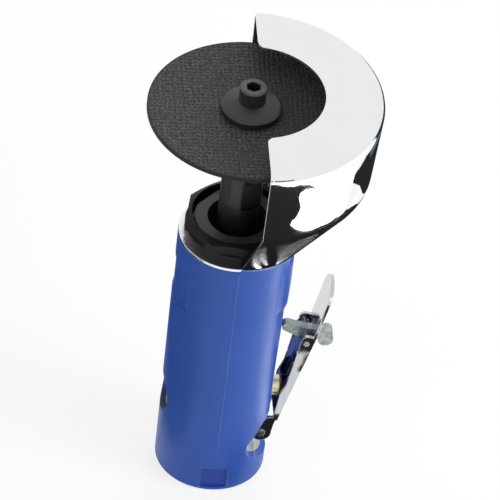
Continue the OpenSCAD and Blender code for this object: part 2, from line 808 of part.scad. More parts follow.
// Arbor screwed on the rotor's shaft, with wrench flats and a pilot for the disc
pilot_h = 3;
pilot_bevel = 0.4;
flats_lift = 18;
flats_turn = 29;
flange_seat_z = disc_z - inner_flange_t;
pilot_r = disc_bore_d / 2 - seat_gap;
module arbor() {
    tap_r = screw_r + seat_gap;
    tap_z = disc_top_z + outer_flange_rim_h + outer_flange_crown_h - screw_len - part_gap;
    color("black")
    difference() {
        union() {
            translate([0, 0, front_seat_z]) cylinder(r = arbor_r, h = flange_seat_z - front_seat_z);
            translate([0, 0, flange_seat_z - overrun])
                cylinder(r = pilot_r, h = inner_flange_t + overrun + pilot_h - pilot_bevel);
            translate([0, 0, disc_z + pilot_h - pilot_bevel])
                cylinder(r1 = pilot_r, r2 = pilot_r - pilot_bevel, h = pilot_bevel);
        }
        translate([0, 0, front_seat_z - overrun])
            cylinder(r = arbor_thread_r + seat_gap, h = arbor_thread_len + overrun + part_gap);
        translate([0, 0, tap_z]) cylinder(r = tap_r, h = screw_len);
        for (side = [0, 1])
            rotate([0, 0, flats_turn + 180 * side])
                translate([-arbor_d, arbor_r - arbor_flat, front_z + flats_lift])
                    cube([2 * arbor_d, arbor_d, arbor_flats_len]);
    }
}

// Flanges that grip the disc
flange_bevel = 0.8;
module inner_flange() {
    color("black")
    translate([0, 0, flange_seat_z])
    difference() {
        union() {
            cylinder(d1 = flange_d - 2 * flange_bevel, d2 = flange_d, h = flange_bevel);
            translate([0, 0, flange_bevel]) cylinder(d = flange_d, h = inner_flange_t - flange_bevel);
        }
        translate([0, 0, -overrun]) cylinder(r = pilot_r + seat_gap, h = inner_flange_t + 2 * overrun);
    }
}
crown_r = screw_head_d / 2;
module outer_flange() {
    recess_h = pilot_h - disc_t + part_gap;
    color("dimgray")
    translate([0, 0, disc_top_z])
    difference() {
        rotate_extrude()
            polygon([
                [0, 0],
                [flange_d / 2, 0],
                [flange_d / 2, outer_flange_rim_h - flange_bevel],
                [flange_d / 2 - flange_bevel, outer_flange_rim_h],
                [crown_r, outer_flange_rim_h + outer_flange_crown_h],
                [0, outer_flange_rim_h + outer_flange_crown_h]
            ]);
        translate([0, 0, -overrun]) cylinder(r = pilot_r + part_gap, h = recess_h + overrun);
        translate([0, 0, -overrun])
            cylinder(r = screw_r + seat_gap, h = outer_flange_rim_h + outer_flange_crown_h + 2 * overrun);
    }
}

// Cutting disc
module cutting_disc() {
    color("dimgray")
    translate([0, 0, disc_z]) tube(disc_d / 2, disc_bore_d / 2, disc_t);
}

// Socket head screw that holds the disc
head_bevel = 0.5;
socket_share = 0.6;
socket_turn = 30;
module disc_screw() {
    head_z = disc_top_z + outer_flange_rim_h + outer_flange_crown_h;
    head_r = screw_head_d / 2;
    socket_h = socket_share * screw_head_h;
    color("dimgray")
    translate([0, 0, head_z])
    difference() {
        union() {
            cylinder(r = head_r, h = screw_head_h - head_bevel);
            translate([0, 0, screw_head_h - head_bevel])
                cylinder(r1 = head_r, r2 = head_r - head_bevel, h = head_bevel);
            translate([0, 0, -screw_len]) cylinder(r = screw_r, h = screw_len + overrun);
        }
        translate([0, 0, screw_head_h - socket_h])
            rotate([0, 0, socket_turn])
                cylinder(d = screw_socket_w / cos(turn / 12), h = socket_h + overrun, $fn = 6);
    }
}

// Pressed sheet guard: a collar, a cone, a wall and a top plate, cut off beside the motor axis
window_shift_share = 0.7;
function guard_outline(inset) =
    let (collar = [guard_collar_d / 2, 0])
    let (fold = [guard_fold_d / 2, guard_fold_h])
    let (rim = [guard_d / 2, guard_h - guard_rim_r])
    let (cone = fold - collar)
    let (wall = rim - fold)
    let (cone_out = [cone[1], -cone[0]] / norm(cone))
    let (wall_out = [wall[1], -wall[0]] / norm(wall))
    let (mitre = (cone_out + wall_out) / (1 + cone_out * wall_out))
    let (start = collar - inset * cone_out)
    let (foot = [start[0] + (inset - start[1]) * cone[0] / cone[1], inset])
    let (arc_centre = [guard_d / 2 - guard_rim_r, guard_h - guard_rim_r])
    let (rim_edge = arc_centre + [guard_rim_r - inset, 0])
    concat(
        [[0, inset], foot],
        round_corner(foot, fold - inset * mitre, rim_edge, guard_fold_r - inset),
        [for (i = [0:blend_steps])
            let (a = 90 * i / blend_steps)
            arc_centre + (guard_rim_r - inset) * [cos(a), sin(a)]],
        [[0, guard_h - inset]]
    );
module guard_corner(side, plate_z) {
    window_r = guard_window_d / 2;
    window_x = window_shift_share * guard_shift;
    centre_x = guard_cut + guard_corner_r;
    reach = window_r + guard_corner_r;
    centre_y = sqrt(reach * reach - (centre_x - window_x) * (centre_x - window_x));
    touch = [window_x, 0] + [centre_x - window_x, centre_y] * window_r / reach;
    translate([0, 0, plate_z])
        scale([1, side, 1])
            linear_extrude(height = 2 * guard_sheet + overrun)
                difference() {
                    polygon([
                        [guard_cut - overrun, centre_y],
                        [centre_x, centre_y],
                        touch,
                        [guard_cut - overrun, touch[1] - overrun]
                    ]);
                    translate([centre_x, centre_y]) circle(guard_corner_r);
                }
}
module wheel_guard() {
    plate_z = front_z + guard_h - 2 * guard_sheet;
    color("gainsboro")
    difference() {
        union() {
            intersection() {
                translate([guard_shift, 0, front_z])
                    rotate_extrude()
                        difference() {
                            polygon(guard_outline(0));
                            polygon(guard_outline(guard_sheet));
                        }
                side_plate(2 * guard_d)
                    polygon([
                        [guard_cut - guard_lean * (1 + overrun / guard_fold_h), front_z - overrun],
                        [guard_d, front_z - overrun],
                        [guard_d, front_z + guard_h + overrun],
                        [guard_cut, front_z + guard_h + overrun],
                        [guard_cut, front_z + guard_fold_h]
                    ]);
            }
            translate([0, 0, front_z]) cylinder(d = guard_collar_d, h = guard_sheet);
        }
        translate([0, 0, front_z - overrun]) cylinder(r = nose_r + run_gap, h = guard_sheet + 2 * overrun);
        translate([window_shift_share * guard_shift, 0, plate_z])
            cylinder(d = guard_window_d, h = 2 * guard_sheet + overrun);
        guard_corner(1, plate_z);
        guard_corner(-1, plate_z);
    }
}

// Stamped throttle lever: a bent strip with side walls from the pivot ears to the latch ears
lever_foot = 7.5;
tip_r = 6.5;
ear_r = lever_offset + lever_sheet;
pivot_ear_len = 6.4;
pivot_ear_out = 1.2;
pivot_ear_end_r = 2;
latch_ear_r = 2.2;
latch_ear_half = 1.3;
wall_high = [0.9, 26];
wall_low = [0.3, 20];
wall_foot = [1.8, 9];
slot_gap = 0.45;
slot_low = 11.5;
slot_high = 4.8;
slot_r = latch_t / 2 + slot_gap;
module ear_pair() {
    for (side = [-1, 1])
        translate([0, side * (lever_w - lever_sheet) / 2, 0]) side_plate(lever_sheet) children();
}

// Stands an outline drawn in y and z across X, from x
module front_plate(x, t) {
    translate([x, 0, 0]) rotate([90, 0, 90]) linear_extrude(height = t) children();
}
module lever_strip() {
    reach = lever_up_len + overrun;
    back = [-sin(lever_bend), cos(lever_bend)];
    out = lever_sheet * [cos(lever_bend), sin(lever_bend)];
    bend_in = [lever_offset, lever_low_len];
    tip_z = lever_low_len + lever_up_len * cos(lever_bend);
    half = lever_w / 2;
    intersection() {
        side_plate(lever_w + 2 * overrun)
            polygon([
                [lever_offset, lever_foot],
                [lever_offset + lever_sheet, lever_foot],
                [lever_offset + lever_sheet, lever_low_len],
                bend_in + out,
                bend_in + out + reach * back,
                bend_in + reach * back,
                bend_in
            ]);
        front_plate(-lever_low_len, 2 * lever_low_len)
            polygon(concat(
                [[-half, lever_foot], [half, lever_foot]],
                round_corner([half, lever_foot], [half, tip_z], [-half, tip_z], tip_r),
                round_corner([half, tip_z], [-half, tip_z], [-half, lever_foot], tip_r)
            ));
    }
}
module throttle_lever() {
    slot_from = latch_along - slot_low + slot_r;
    slot_to = latch_along + slot_high - slot_r;
    web_mid = lever_offset + lever_sheet / 2;
    ear_in_x = latch_out - link_share * latch_ear_r;
    ear_top = latch_along + latch_ear_half + link_share * latch_ear_r;
    color("gainsboro")
    in_lever()
    difference() {
        union() {
            lever_strip();
            ear_pair() {
                link2d([0, 0], ear_r, [pivot_ear_out, pivot_ear_len], pivot_ear_end_r);
                for (side = [-1, 1])
                    translate([latch_out, latch_along + side * latch_ear_half]) circle(latch_ear_r);
                polygon([
                    [ear_in_x, latch_along + latch_ear_half],
                    [ear_in_x, latch_along - latch_ear_half],
                    wall_high,
                    wall_low,
                    wall_foot,
                    [pivot_ear_out, pivot_ear_len],
                    [pivot_ear_out, 0],
                    [web_mid, 0],
                    [web_mid, ear_top],
                    [latch_out, ear_top]
                ]);
            }
        }
        along_y(0, 0) cylinder(r = pivot_pin_d / 2 + run_gap, h = 2 * lever_w, center = true);
        along_y(latch_out, latch_along)
            cylinder(r = latch_pin_d / 2 + seat_gap, h = 2 * lever_w, center = true);
        front_plate(lever_offset - overrun, lever_sheet + 2 * overrun)
            link2d([0, slot_from], slot_r, [0, slot_to], slot_r);
    }
}
pin_stand = 0.4;
module lever_pivot_pin() {
    color("darkgray")
    along_y(pivot_x, pivot_z) cylinder(d = pivot_pin_d, h = lever_w + 2 * pin_stand, center = true);
}
module latch_pin() {
    color("darkgray")
    along_y(latch_x, latch_z) cylinder(d = latch_pin_d, h = lever_w + 2 * pin_stand, center = true);
}

// Safety latch: a nose that meets the grip, a boss on the pin and a finger lobe outside the lever
latch_boss_r = 2.8;
nose_r_tip = 1.9;
nose_rest_gap = 0.24;
nose_rise = 3.1;
lobe_x = 7.8;
lobe_drop = 2.8;
lobe_r = 2.95;
lobe_top_r = 2.4;
lobe_top_z = 0.5;
module safety_latch() {
    nose_at = [grip_r(latch_z) + nose_rest_gap + nose_r_tip - latch_x, nose_rise];
    lobe_top = [lobe_x, lobe_top_z];
    lobe_low = [lobe_x, -lobe_drop];
    color("lightslategray")
    difference() {
        translate([latch_x, 0, latch_z])
            side_plate(latch_t) {
                circle(latch_boss_r);
                translate(nose_at) circle(nose_r_tip);
                translate(lobe_top) circle(lobe_top_r);
                translate(lobe_low) circle(lobe_r);
                link_sides([0, 0], latch_boss_r, nose_at, nose_r_tip);
                link_sides([0, 0], latch_boss_r, lobe_top, lobe_top_r);
                link_sides(lobe_top, lobe_top_r, lobe_low, lobe_r);
            }
        along_y(latch_x, latch_z) cylinder(r = latch_pin_d / 2 + run_gap, h = 2 * latch_t, center = true);
    }
}

// Torsion spring on the latch pin
latch_wire_r = 0.2;
latch_coil_gap = 0.1;
latch_coil_r = latch_pin_d / 2 + latch_wire_r + latch_coil_gap;
latch_curls = 3;
latch_pitch = 1;
latch_leg = 3.6;
module latch_spring() {
    color("silver")
    translate([latch_x, latch_t / 2 + 2 * latch_wire_r + part_gap, latch_z])
        rotate([0, lever_angle + 180, 0])
            rotate([-90, 0, 0]) wound_wire(latch_coil_r, latch_pitch, latch_curls, latch_wire_r, latch_leg);
}
echo(latch_spring_gap = wire_gap(latch_coil_r, latch_pitch, latch_curls, latch_wire_r));

// Brass plunger that the lever pushes, with its stem and seal
seal_section_r = 0.7;
plunger_seal_sink = 4.65;
plunger_seal_x = bushing_out_x - plunger_seal_sink;
plunger_bore_sink = 10.65;
plunger_bore_x = bushing_out_x - plunger_bore_sink;
dome_steps = 10;
module valve_plunger() {
    dome_half = asin(plunger_r / plunger_dome_r);
    color("goldenrod")
    along_x(0, valve_z)
        rotate_extrude()
            difference() {
                polygon(concat(
                    [[0, stem_in_x], [stem_r, stem_in_x], [stem_r, plunger_in_x], [plunger_r, plunger_in_x]],
                    [for (i = [0:dome_steps])
                        let (a = dome_half * (1 - i / dome_steps))
                        [plunger_dome_r * sin(a), dome_x + plunger_dome_r * cos(a)]]
                ));
                translate([plunger_r - seal_section_r, plunger_seal_x]) circle(seal_section_r + seat_gap);
            }
}
module plunger_seal() {
    color("black")
    along_x(plunger_seal_x, valve_z) seal_ring(plunger_r - seal_section_r, seal_section_r);
}
module valve_bushing() {
    bore_r = plunger_r + run_gap;
    color("darkgoldenrod")
    difference() {
        along_x(bushing_in_x, valve_z) cylinder(r = bushing_r, h = bushing_out_x - bushing_in_x);
        along_x(bushing_in_x - overrun, valve_z) cylinder(r = seat_hole_r, h = housing_r);
        along_x(plunger_bore_x, valve_z) cylinder(r = bore_r, h = housing_r);
        bushing_seal_space(seat_gap);
    }
}
bushing_seal_sink = 3.15;
bushing_seal_x = bushing_out_x - bushing_seal_sink;
module bushing_seal_space(extra) {
    along_x(bushing_seal_x, valve_z) seal_ring(bushing_r - seal_section_r, seal_section_r + extra);
}
module bushing_seal() {
    color("black") bushing_seal_space(0);
}
module valve_seat() {
    color("white")
    difference() {
        along_x(seat_x, valve_z) cylinder(r = seat_r, h = bushing_in_x - seat_x);
        along_x(seat_x - overrun, valve_z) cylinder(r = seat_hole_r, h = housing_r);
    }
}
module valve_ball() {
    color("silver") translate([ball_x, 0, valve_z]) sphere(r = ball_r);
}
valve_wire_r = 0.35;
valve_coil_r = 2.6;
valve_curls = 3;
module valve_spring() {
    reach = ball_r + valve_wire_r + seat_gap;
    from = chamber_in_x + 2 * valve_wire_r;
    to = ball_x - sqrt(reach * reach - valve_coil_r * valve_coil_r);
    color("silver")
    along_x(from, valve_z)
        wound_wire(valve_coil_r, (to - from) / valve_curls, valve_curls, valve_wire_r, valve_wire_r);
}

// Air regulator that a screwdriver turns
regulator_slot_w = 1.6;
regulator_slot_depth = 1.8;
regulator_seal_x = (regulator_face_x + regulator_in_x) / 2;
module regulator_seal_space(extra) {
    along_x(regulator_seal_x, regulator_z) seal_ring(regulator_r - seal_section_r, seal_section_r + extra);
}
module air_regulator() {
    color("darkkhaki")
    difference() {
        along_x(regulator_face_x, regulator_z)
            cylinder(r = regulator_r, h = regulator_in_x - regulator_face_x);
        translate([regulator_face_x - overrun, -regulator_d, regulator_z - regulator_slot_w / 2])
            cube([regulator_slot_depth + overrun, 2 * regulator_d, regulator_slot_w]);
        regulator_seal_space(seat_gap);
    }
}
module regulator_seal() {
    color("black") regulator_seal_space(0);
}
clip_inner_share = 0.86;
clip_mouth = 40;
module clip_ring(r, t) {
    rotate([0, 0, clip_mouth / 2])
        rotate_extrude(angle = turn - clip_mouth)
            translate([clip_inner_share * r, 0]) square([(1 - clip_inner_share) * r, t]);
}
module regulator_clip() {
    color("silver")
    along_x(regulator_face_x - regulator_clip_t - seat_gap, regulator_z)
        clip_ring(regulator_clip_r, regulator_clip_t);
}

// Air inlet bushing at the rear end, its seal and its screen
module air_inlet() {
    color("lightgray")
    difference() {
        union() {
            cylinder(d = inlet_flats_w / cos(turn / 12), h = inlet_head_h, $fn = 6);
            cylinder(r = inlet_thread_r, h = inlet_len);
        }
        translate([0, 0, -overrun]) cylinder(d = inlet_d, h = inlet_depth + overrun);
        cylinder(r = inlet_throat_r, h = inlet_len + overrun);
    }
}
module inlet_seal() {
    color("black")
    translate([0, 0, inlet_head_h + inlet_seal_r])
        seal_ring(inlet_thread_r + inlet_seal_r + seat_gap, inlet_seal_r);
}
screen_hole_r = 0.7;
screen_rings = 2;
screen_step_share = 0.4;
module inlet_screen() {
    step = screen_step_share * inlet_throat_r;
    color("silver")
    difference() {
        translate([0, 0, inlet_len + seat_gap]) cylinder(r = inlet_thread_r - seat_gap, h = screen_t);
        for (ring = [0:screen_rings])
            for (i = [0:max(6 * ring, 1) - 1])
                rotate([0, 0, turn * i / max(6 * ring, 1)])
                    translate([ring * step, 0, inlet_len]) cylinder(r = screen_hole_r, h = 2 * screen_t);
    }
}

// Exhaust parts round the inlet
deflector_t = 2;
deflector_gap = 0.2;
slot_w = 2;
slot_margin = 1.2;
module exhaust_deflector() {
    r_in = hub_r + deflector_gap;
    r_out = exhaust_r - seat_gap;
    color("dimgray")
    translate([0, 0, deflector_z])
    difference() {
        tube(r_out, r_in, deflector_t);
        for (i = [0:exhaust_slots - 1])
            rotate([0, 0, turn * i / exhaust_slots])
                translate([r_in + slot_margin, -slot_w / 2, -overrun])
                    cube([r_out - r_in - 2 * slot_margin, slot_w, deflector_t + 2 * overrun]);
    }
}
module exhaust_muffler() {
    from = deflector_z + deflector_t + seat_gap;
    color("beige")
    translate([0, 0, from]) tube(exhaust_r - seat_gap, hub_r + seat_gap, exhaust_depth - from - seat_gap);
}
module deflector_clip() {
    color("silver")
    translate([0, 0, deflector_z - clip_t]) clip_ring(clip_r, clip_t);
}

grip_sleeve();
motor_housing();
clamp_nut();
front_retainer();
front_bearing_outer_race();
front_bearing_inner_race();
front_bearing_balls();
rear_bearing_outer_race();
rear_bearing_inner_race();
rear_bearing_balls();
front_end_plate();
rear_end_plate();
motor_cylinder();
cylinder_pin();
motor_gasket();
rotor();
rotor_vanes();
arbor();
inner_flange();
cutting_disc();
outer_flange();
disc_screw();
wheel_guard();
throttle_lever();
lever_pivot_pin();
safety_latch();
latch_pin();
latch_spring();
valve_plunger();
plunger_seal();
valve_bushing();
bushing_seal();
valve_seat();
valve_ball();
valve_spring();
air_regulator();
regulator_seal();
regulator_clip();
air_inlet();
inlet_seal();
inlet_screen();
exhaust_deflector();
exhaust_muffler();
deflector_clip();
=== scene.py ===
"""Looks of the pneumatic cut off tool: camera, studio, procedural materials and fine surface detail."""

import json
import math

import bmesh
import bpy
from mathutils import Matrix, Vector


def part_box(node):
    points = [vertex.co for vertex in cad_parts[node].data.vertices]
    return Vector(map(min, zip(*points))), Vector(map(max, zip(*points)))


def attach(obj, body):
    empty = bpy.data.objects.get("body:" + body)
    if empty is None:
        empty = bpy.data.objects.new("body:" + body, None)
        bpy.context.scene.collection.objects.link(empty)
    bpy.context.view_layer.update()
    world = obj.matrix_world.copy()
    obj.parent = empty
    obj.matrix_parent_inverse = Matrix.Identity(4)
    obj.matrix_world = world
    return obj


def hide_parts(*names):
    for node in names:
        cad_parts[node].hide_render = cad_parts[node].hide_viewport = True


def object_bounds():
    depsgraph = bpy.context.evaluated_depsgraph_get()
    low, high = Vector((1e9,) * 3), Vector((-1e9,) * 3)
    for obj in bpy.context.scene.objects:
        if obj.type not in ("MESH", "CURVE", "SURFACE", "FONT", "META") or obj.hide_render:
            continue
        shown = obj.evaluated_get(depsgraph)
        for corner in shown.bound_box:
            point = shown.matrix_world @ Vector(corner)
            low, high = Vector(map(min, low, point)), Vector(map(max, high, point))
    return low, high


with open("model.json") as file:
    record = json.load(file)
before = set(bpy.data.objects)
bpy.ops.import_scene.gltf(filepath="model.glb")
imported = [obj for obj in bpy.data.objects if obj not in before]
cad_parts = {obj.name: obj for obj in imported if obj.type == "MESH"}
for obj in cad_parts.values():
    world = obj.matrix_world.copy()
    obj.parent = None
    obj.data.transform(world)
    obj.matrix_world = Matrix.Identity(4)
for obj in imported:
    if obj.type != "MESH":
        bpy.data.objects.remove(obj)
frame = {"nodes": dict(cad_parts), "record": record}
cad_low, cad_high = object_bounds()
nodes = frame["nodes"]
record = frame["record"]

# Camera, fitted to the disc rim, the guard rim and the grip in the photograph
CAMERA_AZIMUTH = math.radians(-8.3)
CAMERA_ELEVATION = math.radians(41.82)
CAMERA_ROLL = math.radians(7.1)
CAMERA_DISTANCE = 2.857
CAMERA_LENS = 553.0
SENSOR_WIDTH = 36.0
CLIP_NEAR = 0.01
CLIP_FAR = 100.0
CAMERA_TARGET = Vector((0.0, 0.0, 0.090))
FRAME_RIGHT = 0.00730
FRAME_UP = 0.0105

# Studio
WHITE = (1.0, 1.0, 1.0, 1.0)
FLOOR_RADIUS = 4.0
FLOOR_SIDES = 96
FLOOR_DROP = 0.0001
FLOOR_COLOUR = (0.86, 0.86, 0.86)
FLOOR_WHITE_SHARE = 0.78
AMBIENT = 0.40
SKY_WHITE = 0.92

# Lamps, each with its place, width and power
LAMP_AIM = Vector((0.0, 0.0, 0.10))
LAMPS = (
    ("key", (0.85, -0.40, 0.70), 0.7, 9.5),
    ("fill", (-0.9, -0.7, 0.6), 0.9, 2.5),
    ("top", (0.2, 0.60, 0.9), 0.8, 5.0),
)

# Shapes that only reflections see: these lie on the floor, most of them for the lever
CARD_LIFT = 0.0004
CARD_AIM = Vector((0.0, 0.0, 0.20))
CARD_ROUGHNESS = 0.9
CARD_BLACK = (0.001, 0.0015, 0.003)
CARD_NAVY = (0.006, 0.013, 0.060)
CARD_BLUE = (0.020, 0.045, 0.210)
CARD_PALE = (0.10, 0.14, 0.19)
CARD_WHITE = (0.80, 0.80, 0.78)
CARD_BRIGHT = (1.0, 1.0, 1.0)
CARD_GLOW = {CARD_WHITE: 1.0, CARD_BRIGHT: 2.1}
FLOOR_CARDS = (
    ("card_pivot", CARD_BLACK, ((0.008, -0.020), (0.032, -0.020), (0.032, -0.0365), (0.010, -0.0365))),
    ("card_latch", CARD_BLACK, ((0.036, -0.0745), (0.047, -0.0745), (0.047, -0.082), (0.036, -0.082))),
    ("card_tip", CARD_BLACK, ((0.047, -0.083), (0.056, -0.083), (0.059, -0.1005), (0.0495, -0.1005))),
    ("panel_right", CARD_BRIGHT, ((0.045, -0.010), (0.165, -0.035), (0.165, 0.075), (0.045, 0.020))),
    ("card_ear", CARD_BLACK, ((0.0365, -0.0695), (0.048, -0.0695), (0.048, -0.0762), (0.0365, -0.0762))),
    ("card_flange", CARD_BLACK, ((0.0402, -0.068), (0.050, -0.068), (0.047, -0.0585), (0.0366, -0.0585))),
    ("card_behind", CARD_BLACK, (
        (0.058, 0.215), (0.075, 0.150), (0.20, 0.125), (0.80, 0.20), (0.80, 0.80), (0.42, 0.80),
    )),
    ("card_valve", CARD_BLACK, ((-0.026, 0.024), (0.022, 0.024), (0.022, 0.060), (-0.026, 0.060))),
    ("card_lever", CARD_BLUE, ((-0.036, 0.0605), (0.018, 0.0605), (0.018, 0.086), (-0.036, 0.086))),
    ("card_left", CARD_NAVY, (
        (-0.038, 0.160), (-0.170, 0.160), (-0.170, -0.060),
        (-0.060, -0.060), (-0.027, -0.020), (-0.038, 0.020),
    )),
)

# Those for the guard lie just above its foot, so that the grip below doesn't reflect them
GUARD_CARD_RISE = 0.0019
GUARD_CARDS = (
    ("panel_wall", CARD_BRIGHT, (
        (0.036, -0.071), (0.0567, -0.0464), (0.066, -0.0196), (0.100, -0.012), (0.150, 0.0),
        (0.170, -0.180), (0.0, -0.180), (0.0, -0.115), (0.050, -0.095),
    )),
    ("card_wall", CARD_BLACK, (
        (0.004, -0.121), (0.0226, -0.119), (0.0605, -0.100), (0.0718, -0.0882), (0.0768, -0.0741),
        (0.0646, -0.0865), (0.0557, -0.0885), (0.0513, -0.0832), (0.0491, -0.0725), (0.045, -0.0717),
        (0.0391, -0.0723), (0.0362, -0.0708), (0.0386, -0.0668), (0.0448, -0.060), (0.0567, -0.0464),
        (0.065, -0.0316), (0.069, -0.0196), (0.0685, -0.0045), (0.061, 0.0146), (0.045, 0.020),
        (0.022, 0.010), (0.022, -0.006), (0.016, -0.016), (0.009, -0.0212), (0.0, -0.0222), (0.0, -0.034),
    )),
    ("card_right", CARD_BLACK, (
        (0.0862, -0.0143), (0.0927, -0.0141), (0.0993, 0.0078), (0.093, 0.036), (0.0842, 0.050),
        (0.0765, 0.062), (0.068, 0.085), (0.050, 0.085), (0.050, 0.026), (0.0615, 0.0146),
        (0.0666, 0.0087), (0.0773, 0.0014),
    )),
    ("card_edge", CARD_PALE, (
        (0.0955, 0.020), (0.0905, 0.036), (0.084, 0.047), (0.078, 0.047), (0.084, 0.032), (0.088, 0.018),
    )),
    ("streak_foot", CARD_WHITE, ((0.004, -0.0262), (0.0052, -0.0266), (0.0085, -0.0225), (0.007, -0.0222))),
    ("streak_side", CARD_WHITE, ((0.007, -0.0285), (0.0078, -0.0289), (0.0105, -0.024), (0.0098, -0.0236))),
    ("streak_low", CARD_WHITE, ((0.011, -0.0222), (0.031, -0.0186), (0.031, -0.018), (0.011, -0.0218))),
    ("streak_high", CARD_WHITE, ((0.015, -0.0272), (0.034, -0.0211), (0.034, -0.0206), (0.015, -0.0267))),
)

# Dark strips far in front, which the guard's rounded rim reflects as a broken line
HORIZON_H = 0.32
HORIZON_CARDS = (
    ("strip_left", (0.20, -1.487), (0.30, -1.470)),
    ("strip_right", (0.33, -1.463), (0.70, -1.327)),
)

# White panel in front of the lever's rounded tip, as x and z
TIP_PANEL_Y = -0.15
TIP_PANEL_LOW = (0.035, 0.060)
TIP_PANEL_HIGH = (0.150, 0.140)

# Flag over the guard's side that keeps light off the disc there
FLAG_LOW = (0.010, -0.070)
FLAG_HIGH = (0.100, 0.090)
FLAG_Z = 0.197

# Guard sheet, with the sizes of its solid
GUARD_SHEET = 0.0012
GUARD_SHIFT = 0.0020
GUARD_CUT = 0.0037
GUARD_LEAN = 0.0033
GUARD_COLLAR_R = 0.0214
GUARD_COLLAR_BORE_R = 0.01716
GUARD_FOLD_R = 0.0447
GUARD_FOLD_H = 0.0359
GUARD_FOLD_ROUND = 0.0070
GUARD_RIM_ROUND = 0.0035
GUARD_WINDOW_R = 0.0253
GUARD_WINDOW_X = 0.0014
GUARD_CORNER_R = 0.0030
GUARD_EDGE_ROUND = 0.0002
GUARD_EDGE_STEPS = 2
GUARD_EDGE_ANGLE = math.radians(50.0)
GUARD_STEPS_ALONG = 84
GUARD_STEPS_CORNER = 8
GUARD_STEPS_ARC = 10
GUARD_STEPS_PLATE = 4
GUARD_CORNER_SHARE = 0.9

# Parting line of the sleeve's mould, with its section as shares of half the width and of the height
SEAM_WIDTH = 0.0006
SEAM_HEIGHT = 0.00012
SEAM_PROFILE = ((-1.0, -1.0), (-0.4, 0.7), (0.4, 0.7), (1.0, -1.0))
SEAMS = (("seam_near", math.radians(-90.0)), ("seam_far", math.radians(90.0)))
SEAM_STEPS = 60
SEAM_BOTTOM = 0.0128
SEAM_TOP_GAP = 0.0008

# Radius of the grip at its rear end
REAR_R = 0.0207

# Square recess near the rear end, painted in shade: depths under the grip's surface, half its width, and its
# ends' fades
RECESS_SHALLOW = 0.0003
RECESS_DEEP = 0.0018
RECESS_HALF = 0.0052
RECESS_FADE = 0.0002
RECESS_FOOT = (0.0013, 0.0016)
RECESS_HEAD = (0.0118, 0.0114)

# Painted highlight on the near edge of the grip's left bare panel, as an angle and as depths under the
# grip's front end
PANEL_EDGE = math.radians(-141.5)
PANEL_LINE = 0.020
PANEL_HIGH = 0.0110
PANEL_LOW = 0.0285
PANEL_FADE = 0.0004

# Painted reflection of the blue grip inside the lever's channel
CHANNEL_HALF = 0.0062
CHANNEL_FADE = 0.0001
CHANNEL_FACING = (0.3, 0.1)
CHANNEL_REFLECTION_BLUE = (0.17, 0.23, 0.44)

# Dished opening round the regulator
DISH_DEEP = 0.0007
DISH_SIDE = (-0.014, -0.015)
DISH_REACH = 0.0110
DISH_FADE = 0.0005
DISH_SHADE = (0.010, 0.012, 0.016)

# Head of the disc screw: ribs round its side, under a plain band at the top
KNURL_RIBS = 48.0
KNURL_TOP = 0.0004
KNURL_FADE = 0.0003

# Painted shade along the disc's edge, where its rim side falls in shade
RIM_DARK = 0.0002
RIM_FADE = 0.0005

# Rounded edges, and paler edges (partly wear, partly painted highlight) from cosines of how far the surface
# turns
SOFT_EDGE = 0.0003
SOFT_EDGE_SAMPLES = 6
EDGE_PALE_START = 0.98
EDGE_PALE_FULL = 0.80
# Share of the painted highlight on the grip's edges
BLUE_HIGHLIGHT_SHARE = 0.5

# How much finer the grain of a plain material is than its patches
GRAIN_RATIO = 6.0

# Colours of the finishes, as linear values
BLUE = (0.022, 0.087, 0.410)
BLUE_DEEP = (0.018, 0.074, 0.365)
# Painted shade on the floor of the grip's square recess
BLUE_RECESS_SHADE = (0.010, 0.044, 0.300)
# Painted highlight for the grip's edges and its mould seam
BLUE_HIGHLIGHT = (0.085, 0.165, 0.50)
CHROME = (0.90, 0.91, 0.92)
CHROME_DULL = (0.855, 0.8645, 0.874)
STEEL = (0.64, 0.65, 0.65)
STEEL_DRAWN = (0.5504, 0.559, 0.559)
STEEL_DULL = (0.46, 0.46, 0.47)
ZINC_LIGHT = (0.58, 0.64, 0.63)
ZINC_DARK = (0.25, 0.28, 0.27)
BLACK = (0.010, 0.010, 0.011)
BLACK_WORN = (0.030, 0.030, 0.031)
DARK_STEEL = (0.018, 0.018, 0.018)
DARK_STEEL_WORN = (0.050, 0.050, 0.050)
TOP_STEEL = (0.110, 0.110, 0.107)
GREY = (0.098, 0.106, 0.104)
GREY_WORN = (0.09, 0.095, 0.095)
GRIT_DARK = (0.012, 0.012, 0.0115)
GRIT_LIGHT = (0.205, 0.203, 0.188)
ALLOY = (0.52, 0.52, 0.53)
ALLOY_DULL = (0.36, 0.36, 0.37)
BRASS = (0.93, 0.83, 0.54)
BRASS_DULL = (0.76, 0.63, 0.35)
RUBBER = (0.012, 0.012, 0.012)
RUBBER_GREY = (0.028, 0.028, 0.028)
FELT = (0.52, 0.50, 0.42)
FELT_DARK = (0.34, 0.32, 0.26)
GASKET = (0.06, 0.075, 0.075)
GASKET_DARK = (0.035, 0.045, 0.045)
PHENOLIC = (0.24, 0.12, 0.05)
PHENOLIC_DARK = (0.13, 0.06, 0.025)
ACETAL = (0.72, 0.72, 0.68)
ACETAL_DULL = (0.60, 0.60, 0.56)


